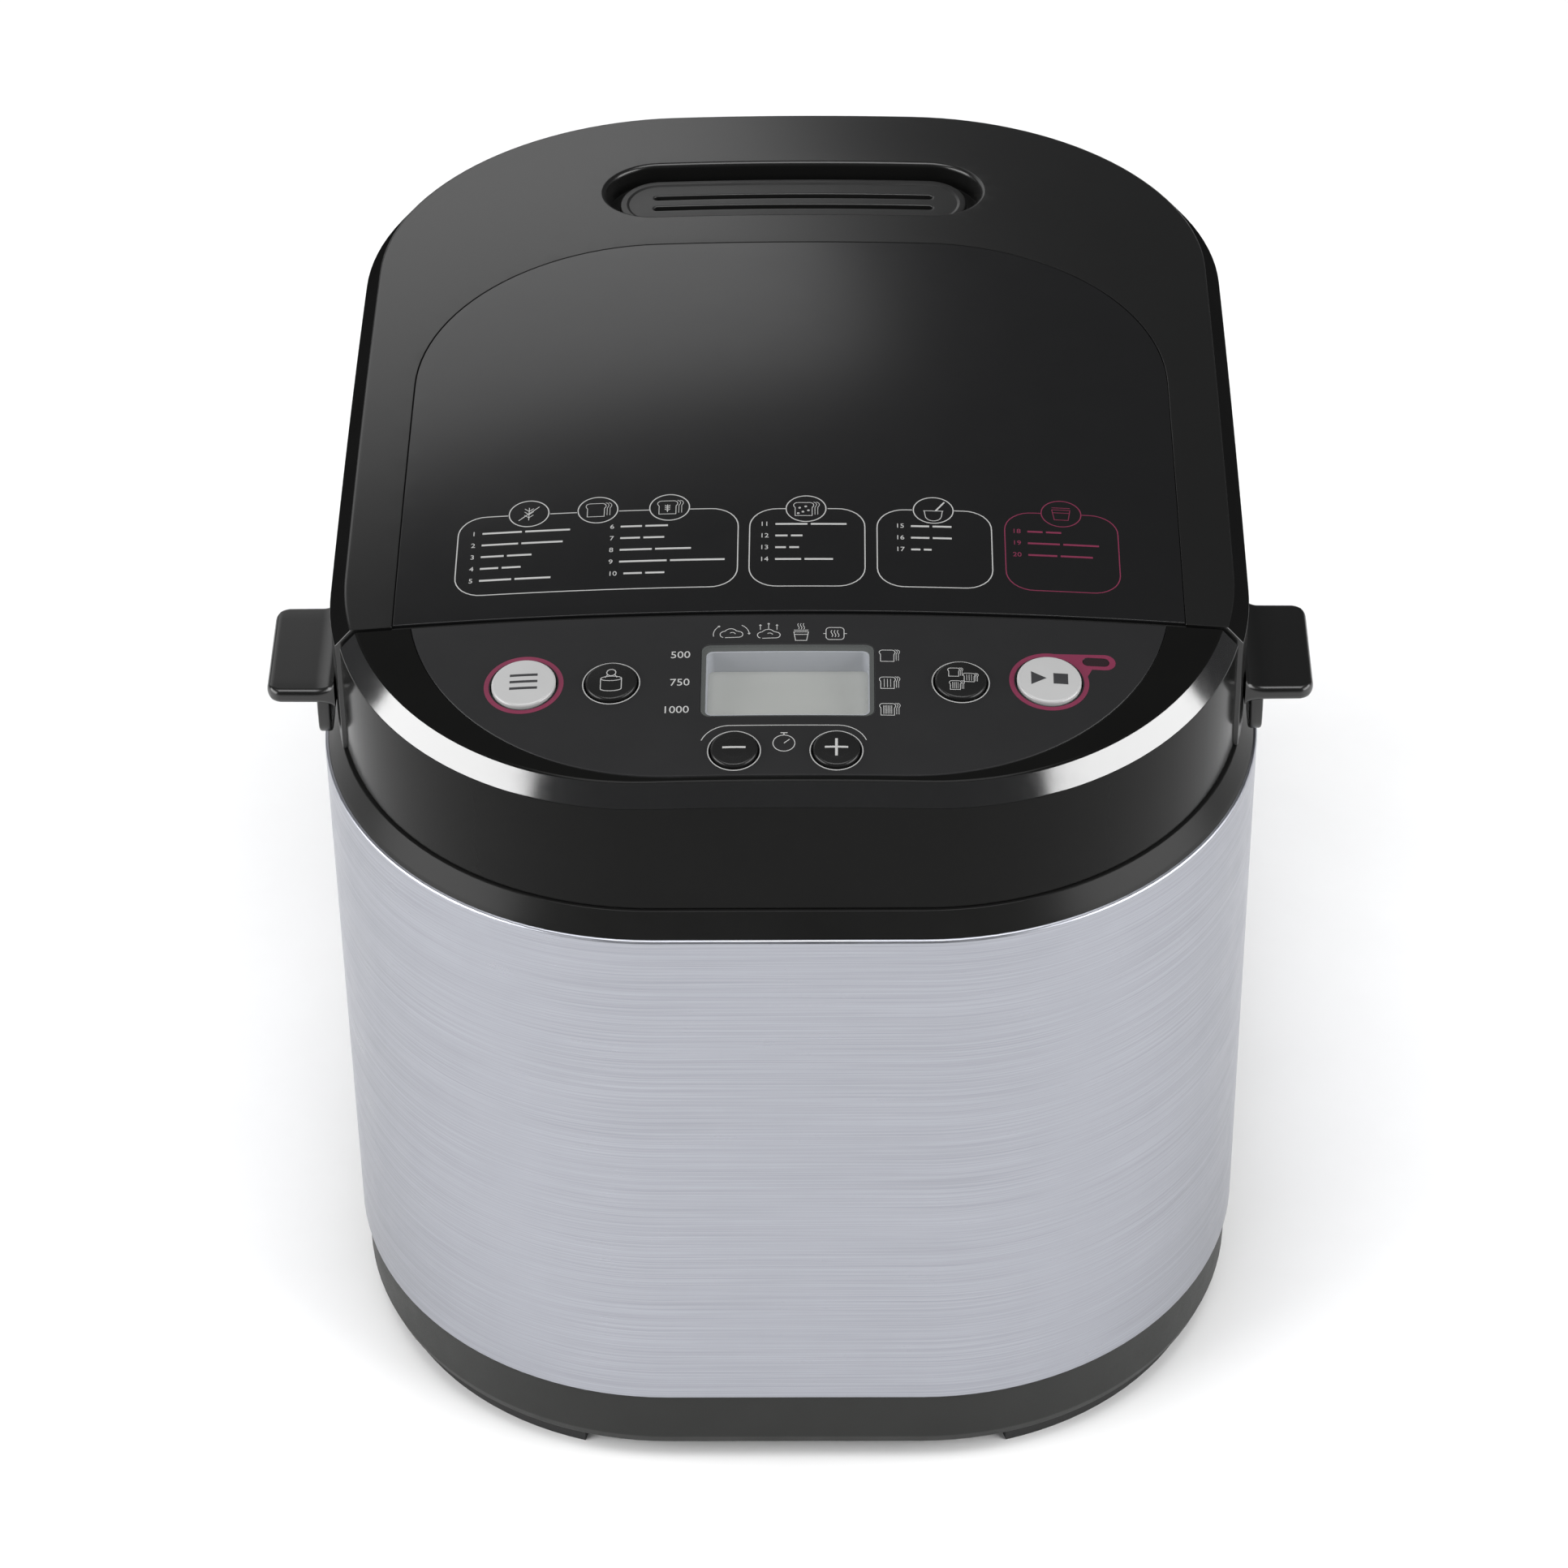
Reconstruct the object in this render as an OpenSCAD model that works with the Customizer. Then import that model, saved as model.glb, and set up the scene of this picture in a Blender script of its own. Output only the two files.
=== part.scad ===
// Countertop bread machine with a hinged lid, a front control housing,
// a removable kneading pan and a belt-driven kneading paddle.
// Millimetres. +Z up, front towards -Y, origin on the floor below the centre.

/* [Body] */
// Width of the steel body
body_w = 280; // [270:1:290]
// Depth of the steel body
body_d = 360; // [350:1:370]
// Radius of the body's vertical corners
corner_r = 101; // [95:1:105]
// Height of the steel wrap's lower edge above the floor
wrap_z0 = 29.5; // [29:0.5:30]
// Height of the steel wrap's upper edge above the floor
wrap_z1 = 218.3; // [218:0.1:218.6]
// Thickness of the steel wrap
wrap_t = 0.8; // [0.6:0.1:1]
// Height of the parting line between collar and lid
deck_z = 225.7; // [225.5:0.1:226]
// How far the collar's upper edge stands in from the steel
collar_in = 5; // [4.5:0.1:5.5]
// Thickness of the deck plate
deck_t = 3; // [2.5:0.5:3]

/* [Lid and housing] */
// Radius of the domed top
dome_r = 1310; // [1200:10:1500]
// Height of the dome's crown above the floor
dome_top = 281.7; // [281:0.1:283]
// Distance of the dome's crown behind the centre
dome_y = 7; // [0:1:10]
// Width of the bright chamfer, seen from above
chamfer_w = 4.8; // [4:0.1:5.5]
// Height of the bright chamfer
chamfer_h = 6; // [5:0.1:7]
// How far the lid's skirt stands in from the steel
lid_in = 4.6; // [4.4:0.1:5]
// How far the housing's band stands in from the steel
housing_in = 5.8; // [5.4:0.1:6.2]
// Position of the lid's front edge
lid_front = -102; // [-103:0.5:-101]
// Gap between the lid and the housing
lid_gap = 1.2; // [0.8:0.1:1.5]
// Gap between the lid's skirt and the collar
skirt_gap = 0.5; // [0.4:0.1:0.8]
// Wall thickness of lid and housing
shell_t = 2.6; // [2:0.1:3]

/* [Top panel] */
// Half width of the inlaid panel
panel_a = 115.5; // [112:0.5:117]
// Back edge of the inlaid panel
panel_back = 85; // [80:1:88]
// Corner radius of the inlaid panel
panel_r = 73; // [70:1:75]
// Front edge of the control overlay
overlay_front = -167.5; // [-168:0.5:-166]
// Half width of the control overlay
overlay_a = 112.5; // [111.5:0.5:113]
// Corner radius of the control overlay
overlay_r = 78; // [77:0.5:79]
// Thickness of panel and overlay
panel_t = 1; // [0.8:0.1:1.2]

/* [Buttons] */
// Travel of the push buttons
button_travel = 0.8; // [0.5:0.1:1]
// How far the button caps stand above the overlay
button_proud = 1.1; // [1:0.1:1.5]
// Radius of the two large caps
big_r = 9.3; // [9:0.1:9.6]
// Radius of the two middle caps
mid_r = 7.4; // [7:0.1:7.8]
// Radius of the two small caps
small_r = 6.7; // [6.4:0.1:7]

/* [Grips] */
// Half width over the two grips
grip_x = 154.7; // [152:0.1:158]
// Front edge of the grips
grip_y0 = -98; // [-98:0.5:-96]
// Back edge of the grips
grip_y1 = -57; // [-60:1:-50]
// Height of the grips' upper face
grip_z = 244.5; // [243:0.5:246]
// Thickness of the grips
grip_t = 4.7; // [4:0.1:5]

/* [Baking chamber and pan] */
// Centre of the chamber, from front to back
cham_y = 35; // [34:1:36]
// Half width of the chamber inside
cham_a = 105; // [104:0.5:106]
// Half depth of the chamber inside
cham_b = 82.5; // [82:0.5:83]
// Half width of the pan outside
pan_a = 92; // [90:0.5:93]
// Half depth of the pan outside
pan_b = 69.5; // [68:0.5:70]
// Height of the pan's rim
pan_top = 206; // [200:1:208]
// Height of the pan's floor
pan_z = 66; // [66:0.5:67]
// Thickness of the pan wall
pan_t = 1.5; // [1.2:0.1:1.8]

/* [Drive] */
// Radius of the drive shafts
shaft_r = 4; // [4:0.5:4.5]
// Radial running clearance of the shafts
run_gap = 0.05; // [0.03:0.01:0.08]
// Radius of the large pulley
big_pulley_r = 40; // [38:1:42]
// Radius of the motor's pulley
small_pulley_r = 8; // [8:0.5:9]
// Motor shaft position from left to right
motor_x = -62; // [-64:1:-60]
// Motor shaft position from front to back
motor_y = -112; // [-114:1:-110]

/* [Hinge] */
// Hinge axis position from front to back
hinge_y = 171; // [170.5:0.5:171]
// Hinge axis height
hinge_z = 229; // [229:0.5:229.5]

/* [Hidden] */
A = body_w / 2;
B = body_d / 2;
n_corner = 18;
sphere_fn = 360;

// points of a rounded rectangle, counter-clockwise, n steps in each corner
function rr_pts(a, b, r, n = n_corner) = [for (q = [[1, 1, 0], [-1, 1, 90], [-1, -1, 180], [1, -1, 270]])
  for (i = [0:n]) [q[0] * (a - r) + r * cos(q[2] + 90 * i / n), q[1] * (b - r) + r * sin(q[2] + 90 * i / n)]];
// body outline stepped inwards by d
function outline(d) = rr_pts(A - d, B - d, corner_r - d);
// height of the dome above a point, lowered by s
function dome_h(p, s = 0) = dome_top - s - (p[0] * p[0] + (p[1] - dome_y) * (p[1] - dome_y)) / (2 * dome_r);
function ring(pts, z) = [for (p = pts) [p[0], p[1], z]];

// closed skin through rings of equal length
module loft(rings) {
  n = len(rings[0]);
  m = len(rings);
  polyhedron(
    points = [for (r = rings) for (p = r) p],
    faces = concat(
      [[for (i = [0:n - 1]) i]],
      [for (k = [0:m - 2]) for (i = [0:n - 1]) each [
        [k * n + i, (k + 1) * n + i, k * n + (i + 1) % n],
        [(k + 1) * n + i, (k + 1) * n + (i + 1) % n, k * n + (i + 1) % n]]],
      [[for (i = [n - 1:-1:0]) (m - 1) * n + i]]));
}
module slab(d, z0, z1) translate([0, 0, z0]) linear_extrude(z1 - z0) polygon(outline(d));
module plate(a, b, r, z0, z1, n = 8) translate([0, 0, z0]) linear_extrude(z1 - z0) polygon(rr_pts(a, b, r, n));
module box(x0, x1, y0, y1, z0, z1) translate([x0, y0, z0]) cube([x1 - x0, y1 - y0, z1 - z0]);
module rod(r, z0, z1, x = 0, y = 0, fn = 48) translate([x, y, z0]) cylinder(h = z1 - z0, r = r, $fn = fn);
module xrod(r, x0, x1, y, z, fn = 48) translate([x0, y, z]) rotate([0, 90, 0]) cylinder(h = x1 - x0, r = r, $fn = fn);
module tube(r1, r0, z0, z1, x = 0, y = 0, fn = 48) difference() {
  rod(r1, z0, z1, x, y, fn);
  rod(r0, z0 - 1, z1 + 1, x, y, fn);
}
module dome(s) translate([0, dome_y, dome_top - s - (dome_r - s)]) sphere(r = dome_r - s, $fn = sphere_fn);
// outer form of the top: straight band, chamfer, dome
module top_form(d, z0) {
  o = outline(d);
  oc = outline(d + chamfer_w);
  w = outline(d + 1.5 * chamfer_w);
  intersection() {
    loft([ring(o, z0),
      [for (i = [0:len(o) - 1]) [o[i][0], o[i][1], dome_h(oc[i]) - chamfer_h]],
      [for (i = [0:len(o) - 1]) [w[i][0], w[i][1], dome_h(oc[i]) + 0.5 * chamfer_h]],
      ring(w, dome_top + 20)]);
    dome(0);
  }
}
function panel_pts(d) = rr_pts(panel_a - d, (panel_back - lid_front) - d, panel_r - d, 14);
// inlaid area on the lid, behind the front edge
module panel_area(d, y0) intersection() {
  translate([0, lid_front]) polygon(panel_pts(d));
  translate([-200, y0]) square([400, 400]);
}
function overlay_pts(d) = rr_pts(overlay_a - d, overlay_r + 0.5 - d, overlay_r - d, 14);
module overlay_area(d, y1) intersection() {
  translate([0, overlay_front + overlay_r + 0.5]) polygon(overlay_pts(d));
  translate([-200, y1 - 400]) square([400, 400]);
}
// skin between two concentric domes under a flat outline
module dome_sheet(s0, s1) difference() {
  intersection() {
    translate([0, 0, dome_top - 40]) linear_extrude(60) children();
    dome(s0);
  }
  dome(s1);
}

// ---- base ----
foot_at = [for (sx = [-1, 1]) for (sy = [-1, 1]) [sx, sy]];
boss_at = [[-88, -118], [96, -112], [-112, 60], [112, 60], [-60, 150], [60, 150]];
module foot_block(z0, z1, r0, r1, a) for (s = foot_at)
  translate([s[0] * (A - corner_r), s[1] * (B - corner_r), z0])
    rotate([0, 0, (s[0] > 0 ? (s[1] > 0 ? 45 : -45) : (s[1] > 0 ? 135 : 225)) - a / 2])
      rotate_extrude(angle = a, $fn = 96) translate([r0, 0]) square([r1 - r0, z1 - z0]);
module base_tray() color("#2b2d28") difference() {
  union() {
    difference() {
      loft([ring(outline(7.2), 4.5), ring(outline(4.6), 5.3), ring(outline(2.6), 7.3), ring(outline(1.5), 10.5), ring(outline(1.2), 28.9)]);
      slab(4, 7.5, 40);
    }
    difference() {
      slab(1.9, 20, 36);
      slab(4.2, 19, 37);
    }
    for (p = boss_at) rod(6, 7, 38, p[0], p[1]);
    for (p = [[15, -70], [15, -155], [95, -70], [80, -150]]) rod(3.5, 7, 60, p[0], p[1]);
  }
  foot_block(4, 5.5, 79.8, 95.2, 58);
  for (p = boss_at) {
    rod(1.6, 3, 36, p[0], p[1]);
    rod(4, 3, 8.5, p[0], p[1]);
  }
  for (x = [-54:12:54]) box(x - 2, x + 2, 90, 135, 3, 9);
}
module rubber_feet() color("#1b1b1a") foot_block(0, 5.5, 80, 95, 57);
module base_screws() color("#9a9da0") for (p = boss_at) {
  rod(1.55, 8.4, 34, p[0], p[1], 24);
  difference() {
    rod(3.4, 5.8, 8.45, p[0], p[1], 24);
    rod(1.2, 5, 7.4, p[0], p[1], 6);
  }
}
// ---- outer wrap and collar ----
rear_half = 37;
gland_at = [22, 55];
rear_seam = 0.1;
module wrap_sheet() difference() {
  union() {
    slab(0, wrap_z0, wrap_z1 - 1.2);
    loft([ring(outline(0), wrap_z1 - 1.2), ring(outline(0.35), wrap_z1 - 0.4), ring(outline(0.9), wrap_z1)]);
  }
  slab(wrap_t, wrap_z0 - 1, wrap_z1 - 2);
  slab(2.2, wrap_z1 - 3, wrap_z1 + 1);
}
module rear_zone(half) box(-half, half, B - 4, B + 1, wrap_z0 - 1, wrap_z1 + 1);
module body_wrap() color("#b9bcc6") difference() {
  wrap_sheet();
  rear_zone(rear_half);
}
// service panel that closes the wrap at the back, with the vents and the cord's hole
module rear_panel() color("#b9bcc6") difference() {
  intersection() {
    wrap_sheet();
    rear_zone(rear_half - rear_seam);
  }
  translate([gland_at[0], B + 5, gland_at[1]]) rotate([90, 0, 0]) cylinder(h = 10, r = 8, $fn = 48);
  for (x = [-30:7.5:30]) box(x - 1.5, x + 1.5, B - 5, B + 5, 100, 135);
}
module collar() color("#1d1d1c") difference() {
  union() {
    loft([ring(outline(0.9), wrap_z1), ring(outline(1.6), wrap_z1 + 1.2), ring(outline(collar_in), deck_z)]);
    slab(2.3, wrap_z1 - 8, wrap_z1 + 0.01);
  }
  difference() {
    slab(5.4, wrap_z1 - 9, deck_z - deck_t);
    for (s = [-1, 1]) box(s * 26 - 15, s * 26 + 15, 160, 175, wrap_z1 - 6, deck_z);
  }
  translate([0, cham_y, 0]) plate(cham_a - 1, cham_b - 1, 27, deck_z - 20, deck_z + 5);
  translate([0, -136, 0]) plate(98, 27, 18, deck_z - 20, deck_z + 5);
  // groove for the swing of the lid's lower edge
  xrod(5.6, -62, 62, hinge_y, hinge_z, 64);
  box(-62, 62, hinge_y, B + 1, hinge_z - 5.6, hinge_z + 5);
  hinge_pockets(0.15);
  for (p = cham_screw_at) rod(1.5, 200, 240, p[0], p[1], 24);
  for (p = cham_screw_at) rod(3, deck_z - 1.6, 240, p[0], p[1], 24);
}
// ---- control housing ----
btn = [[-75.8, -129.6, big_r], [-50.6, -130.4, mid_r], [49.6, -130.4, mid_r], [75.0, -129.0, big_r], [-15, -158, small_r], [14, -158, small_r]];
module button_holes(extra) for (b = btn) rod(b[2] + extra, 240, 290, b[0], b[1], 64);
win = [24.8, 14.3, 2.6];
win_y = -130;
module control_housing() color("#1f1f1e") difference() {
  intersection() {
    top_form(housing_in, deck_z);
    box(-200, 200, -200, lid_front - lid_gap, 0, 400);
  }
  intersection() {
    union() {
      slab(housing_in + shell_t, deck_z - 5, 255);
      slab(housing_in + chamfer_w + 2.2, deck_z - 5, 300);
    }
    dome(panel_t + 2.4);
    box(-200, 200, -200, lid_front - lid_gap - shell_t, 0, 400);
  }
  dome_sheet(-10, panel_t) overlay_area(0, lid_front - lid_gap + 1);
  button_holes(0.35);
  translate([0, win_y, 0]) plate(win[0] - 1.2, win[1] - 1.2, win[2], 255, 290);
  rod(1.6, 255, 290, 88.7, -120.2, 24);
}
module control_overlay() color("#303030") difference() {
  dome_sheet(0, panel_t) overlay_area(0.15, lid_front - lid_gap);
  button_holes(0.35);
  translate([0, win_y, 0]) plate(win[0] + 0.1, win[1] + 0.1, win[2] + 0.1, 255, 290);
  translate([88.7, -120.2, 0]) plate(3.8, 1.6, 1.55, 255, 290, 6);
}
module display_window() color([0.72, 0.76, 0.74, 0.5])
  intersection() {
    translate([0, win_y, 262]) linear_extrude(25) polygon(rr_pts(win[0], win[1], win[2], 8));
    difference() {
      dome(0.1);
      dome(panel_t);
    }
  }
module display_module() color("#9aa39a") union() {
  box(-27, 27, -147, -113, 260, 266.5);
  box(-23.2, 23.2, win_y - 12.8, win_y + 12.8, 266.4, 267.2);
  for (x = [-24:4:24]) rod(0.4, 249.6, 260.2, x, -115, 16);
}
board_screw_at = [[-92, -118], [92, -112], [-30, -160.5], [30, -160.5]];
module control_board() color("#2f5d3a") difference() {
  union() {
    box(-100, 100, -147, -106, 248, 249.6);
    box(-40, 40, -164, -146.9, 248, 249.6);
    for (p = board_screw_at) rod(3.6, 249.5, 262, p[0], p[1], 24);
    box(40, 62, -145, -135, 249.5, 253);
    box(-44, -30, -125, -112, 249.5, 251.5);
  }
  for (p = board_screw_at) rod(1.3, 247, 261, p[0], p[1], 24);
}
module tact_switches() color("#404448") for (b = btn) {
  box(b[0] - 3, b[0] + 3, b[1] - 3, b[1] + 3, 249.6, 253.4);
  rod(1.7, 253.3, 254, b[0], b[1], 24);
}
module status_light() color("#7a3a3a") union() {
  intersection() {
    translate([88.7, -120.2, 262]) linear_extrude(20) polygon(rr_pts(3.7, 1.5, 1.45, 6));
    difference() {
      dome(0.1);
      dome(panel_t);
    }
  }
  rod(1.5, 249.6, 269, 88.7, -120.2, 24);
}
module board_screws() color("#9a9da0") for (p = board_screw_at) {
  rod(1.25, 247, 259, p[0], p[1], 24);
  difference() {
    rod(2.6, 246, 248, p[0], p[1], 24);
    rod(1, 245, 247, p[0], p[1], 6);
  }
}
// push button: domed cap, retaining flange and stem
module push_button(i) {
  b = btn[i];
  h = dome_h(b);
  under = dome_h([b[0], b[1] - b[2] - 1.2], panel_t + 2.4);
  intersection() {
    rod(b[2], 250, 290, b[0], b[1], 128);
    difference() {
      dome(-button_proud);
      translate([0, 0, -5]) dome(0);
    }
  }
  rod(b[2] - 1.2, under - 2, h - 2, b[0], b[1], 128);
  rod(b[2] + 1.1, under - 2.4, under - 0.5, b[0], b[1], 128);
  rod(2.2, 254.9, under - 2, b[0], b[1], 32);
}
module menu_button() color("#c9c9c9") push_button(0);
module weight_button() color("#141414") push_button(1);
module crust_button() color("#141414") push_button(2);
module start_button() color("#c9c9c9") push_button(3);
module minus_button() color("#141414") push_button(4);
module plus_button() color("#141414") push_button(5);
// ---- baking chamber ----
cham_z = 46;
cham_screw_at = [[-98, 123], [98, 123], [-98, -53], [98, -53]];
module at_cham() translate([0, cham_y, 0]) children();
module baking_chamber() color("#8d9094") difference() {
  union() {
    at_cham() plate(cham_a + 1, cham_b + 1, 29, cham_z - 1.2, deck_z - deck_t - 0.1);
    at_cham() plate(cham_a + 7, cham_b + 7, 20, deck_z - deck_t - 1.3, deck_z - deck_t - 0.1);
  }
  at_cham() plate(cham_a, cham_b, 28, cham_z, deck_z);
  at_cham() rod(11.2, 30, 60);
  for (p = cham_screw_at) rod(1.5, 200, 240, p[0], p[1], 24);
  for (y = elem_y) xrod(5.5, 90, 120, y, elem_z);
  translate([30, -44, 110]) rotate([90, 0, 0]) cylinder(h = 12, r = 4, $fn = 32);
}
module chamber_screws() color("#9a9da0") for (p = cham_screw_at) {
  rod(1.45, 210, deck_z - 1.5, p[0], p[1], 24);
  rod(2.8, deck_z - 1.6, deck_z - 0.2, p[0], p[1], 24);
}
module inner_screws() {
  board_screws();
  chamber_screws();
}
module heat_shield() color("#a5a8ab") union() {
  box(-100, 100, -60.8, -60, 40, 205);
  box(-100, 100, -60.8, -52, 40, 40.8);
}
elem_r = 3.25;
elem_a = 98.6;
elem_b = 76;
elem_c = 22;
elem_z = 70;
elem_y = [cham_y - 14, cham_y + 14];
// tube segment on a straight line at element height
module elem_x(x0, x1, y) xrod(elem_r, x0, x1, y, elem_z, 32);
module elem_yrod(x, y0, y1) translate([x, y1, elem_z]) rotate([90, 0, 0]) cylinder(h = y1 - y0, r = elem_r, $fn = 32);
module elem_bend(x, y, r, a0) translate([x, y, elem_z]) rotate([0, 0, a0]) rotate_extrude(angle = 90, $fn = 64) translate([r, 0]) circle(r = elem_r, $fn = 32);
module heating_element() color("#3a3a3c") at_cham() union() {
  elem_x(-elem_a + elem_c, elem_a - elem_c, elem_b);
  elem_x(-elem_a + elem_c, elem_a - elem_c, -elem_b);
  elem_yrod(-elem_a, -elem_b + elem_c, elem_b - elem_c);
  elem_yrod(elem_a, 14 + 5, elem_b - elem_c);
  elem_yrod(elem_a, -elem_b + elem_c, -14 - 5);
  elem_bend(-elem_a + elem_c, elem_b - elem_c, elem_c, 90);
  elem_bend(-elem_a + elem_c, -elem_b + elem_c, elem_c, 180);
  elem_bend(elem_a - elem_c, elem_b - elem_c, elem_c, 0);
  elem_bend(elem_a - elem_c, -elem_b + elem_c, elem_c, 270);
  elem_bend(elem_a + 5, 19, 5, 180);
  elem_bend(elem_a + 5, -19, 5, 90);
  elem_x(elem_a + 5, 114, 14);
  elem_x(elem_a + 5, 114, -14);
}
module element_terminals() color("#e6e2d8") for (y = elem_y) {
  difference() {
    union() {
      xrod(5.4, 105.2, 112, y, elem_z);
      xrod(7.5, 106.1, 108.5, y, elem_z);
    }
    xrod(elem_r, 100, 120, y, elem_z, 32);
  }
  box(114, 124, y - 3.1, y + 3.1, elem_z - 0.4, elem_z + 0.4);
}
module element_clips() color("#8d9094") for (p = [[-50, 1], [50, 1], [-50, -1], [50, -1]])
  translate([p[0], cham_y, 0]) difference() {
    union() {
      box(-5, 5, min(p[1] * 71, p[1] * 82.5), max(p[1] * 71, p[1] * 82.5), 65.4, 66.7);
      box(-5, 5, min(p[1] * 81.7, p[1] * 82.5), max(p[1] * 81.7, p[1] * 82.5), 58, 80);
    }
    xrod(elem_r, -10, 10, p[1] * elem_b, elem_z, 32);
  }
module temperature_probe() color("#b0b3b6") translate([30, 0, 110]) rotate([90, 0, 0]) union() {
  translate([0, 0, 37]) cylinder(h = 19, r = 3.9, $fn = 32);
  translate([0, 0, 48.6]) cylinder(h = 2.5, r = 8, $fn = 32);
  translate([0, 0, 56]) cylinder(h = 2, r = 2, $fn = 24);
}
module thermal_fuse() color("#d9d6cc") union() {
  translate([-40, -51.2, 90]) rotate([0, 90, 0]) cylinder(h = 26, r = 2.4, $fn = 32);
  box(-36, -18, -50.2, -48.5, 84, 96);
}
// ---- pan ----
module pan_seat() color("#8d9094") at_cham() difference() {
  union() {
    tube(58, 30, cham_z, cham_z + 1.5, 0, 0, 96);
    tube(53.5, 50.5, cham_z, 57, 0, 0, 96);
  }
  for (a = [0, 120, 240]) rotate([0, 0, a]) box(-9, 9, 40, 60, cham_z + 4, 60);
}
module bread_pan() color("#55565a") at_cham() difference() {
  union() {
    plate(pan_a, pan_b, 26, pan_z, pan_top);
    plate(pan_a + 3, pan_b + 3, 28, pan_top - 2, pan_top);
    tube(49.5, 47, 50, pan_z + 0.5, 0, 0, 96);
    for (s = [-1, 1]) box(s * (pan_a + 1.6) - 2.6, s * (pan_a + 1.6) + 2.6, -7, 7, pan_top - 20, pan_top);
  }
  plate(pan_a - pan_t, pan_b - pan_t, 24.5, pan_z + pan_t, pan_top + 5);
  rod(8, 60, 70);
  for (a = [60, 180, 300]) rotate([0, 0, a]) box(-8, 8, 40, 55, 48, 56);
  xrod(2.6, -100, -70, 0, pan_top - 9);
  xrod(2.6, 70, 100, 0, pan_top - 9);
}
module pan_handle() color("#b9bcc0") at_cham() union() {
  // bail folded back, resting just above the rim
  k = 76;
  w = 72;
  for (s = [-1, 1]) {
    xrod(2.2, min(s * 86, s * 95.6), max(s * 86, s * 95.6), 0, pan_top - 9, 32);
    translate([s * 86, 0, pan_top - 9]) rotate([-k, 0, 0]) cylinder(h = w, r = 2, $fn = 32);
    translate([s * 86, 0, pan_top - 9]) sphere(r = 3, $fn = 48);
    translate([s * 86, w * sin(k), pan_top - 9 + w * cos(k)]) sphere(r = 2.8, $fn = 48);
  }
  translate([0, w * sin(k), pan_top - 9 + w * cos(k)]) {
    xrod(2, -86, 86, 0, 0, 32);
    xrod(4.5, -30, 30, 0, 0, 48);
  }
}
module pan_bushing() color("#c8a95e") at_cham() difference() {
  union() {
    rod(7.95, 60, 77);
    rod(13, 62.5, pan_z);
    rod(11, pan_z + pan_t, pan_z + pan_t + 1.6);
  }
  rod(shaft_r + run_gap, 50, 90);
}
module pan_shaft() color("#b0b3b6") at_cham() union() {
  rod(shaft_r, 57.5, 96.5);
  rod(20, 57.4, 59.2, 0, 0, 64);
  for (a = [0, 180]) rotate([0, 0, a]) box(13, 19.5, -4, 4, 51, 57.6);
}
module kneading_paddle() color("#4a4b4e") at_cham() difference() {
  union() {
    rod(8, 78.5, 98);
    translate([0, 2, 79.5]) rotate([90, 0, 0]) linear_extrude(4) polygon([[0, 0], [36, 0], [38, 4], [33, 20], [26, 26], [12, 24], [0, 17]]);
  }
  rod(shaft_r, 70, 96.5);
}
// ---- drive ----
module drive_coupler() color("#b0b3b6") at_cham() difference() {
  union() {
    rod(8, 50.6, 56.6);
    rotate([0, 0, 90]) box(-18, 18, -4, 4, 50.6, 56.6);
  }
  rod(shaft_r, 40, 55);
}
module drive_shaft() color("#a0a3a6") at_cham() rod(shaft_r, 12.5, 55);
module shaft_clip() color("#606366") at_cham() difference() {
  tube(7, shaft_r, 27.6, 28.6);
  box(-2, 2, 3, 9, 27, 29);
}
module drive_pulley() color("#3b3b3d") at_cham() difference() {
  union() {
    rod(big_pulley_r, 14, 24, 0, 0, 96);
    rod(9, 14, 27);
  }
  rod(shaft_r, 10, 30);
  tube(34, 12, 20, 26, 0, 0, 96);
  tube(34, 12, 12, 17, 0, 0, 96);
  for (a = [0:60:359]) rotate([0, 0, a]) rod(7, 10, 30, 23, 0);
  for (z = [15.5:1.6:22.5]) translate([0, 0, z]) rotate_extrude($fn = 96) translate([big_pulley_r - 0.8, 0]) square([2, 0.8]);
}
module drive_bearings() color("#c8a95e") at_cham() {
  tube(6, shaft_r + run_gap, 30, 38);
  tube(6, shaft_r + run_gap, 42, 50);
}
module bearing_housing() color("#9a9da0") at_cham() difference() {
  union() {
    rod(11, 29, 50);
    rod(26, 40, cham_z - 1.2, 0, 0, 64);
  }
  rod(6, 20, 60);
  for (a = [45:90:359]) rotate([0, 0, a]) rod(1.8, 39, 50, 20, 0, 24);
}
module chassis_plate() color("#8d9094") difference() {
  union() {
    box(-112, 112, 5, 92, 38, 40);
    box(-98, -26, -148, 6, 38, 40);
    box(-30, 60, -70, 6, 38, 40);
    for (p = boss_at) hull() {
      rod(7, 38, 40, p[0], p[1], 32);
      rod(7, 38, 40, p[0] * 0.6, p[1] * 0.55 + (p[1] > 0 ? 12 : -12), 32);
    }
  }
  at_cham() rod(11.2, 30, 50);
  rod(7.5, 30, 50, motor_x, motor_y);
  for (s = [[-1, -1], [1, -1], [-1, 1], [1, 1]]) rod(2.5, 30, 50, motor_x + s[0] * 27, motor_y + s[1] * 27, 32);
  for (p = boss_at) rod(1.7, 30, 50, p[0], p[1], 24);
  rod(4, 30, 50, 15, -70);
}
module motor_mounts() color("#2a2a2a") for (s = [[-1, -1], [1, -1], [-1, 1], [1, 1]])
  translate([motor_x + s[0] * 27, motor_y + s[1] * 27, 0]) {
    rod(5.5, 40, 45);
    rod(2.4, 37.5, 40.1);
  }
module at_motor() translate([motor_x, motor_y, 0]) children();
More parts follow.
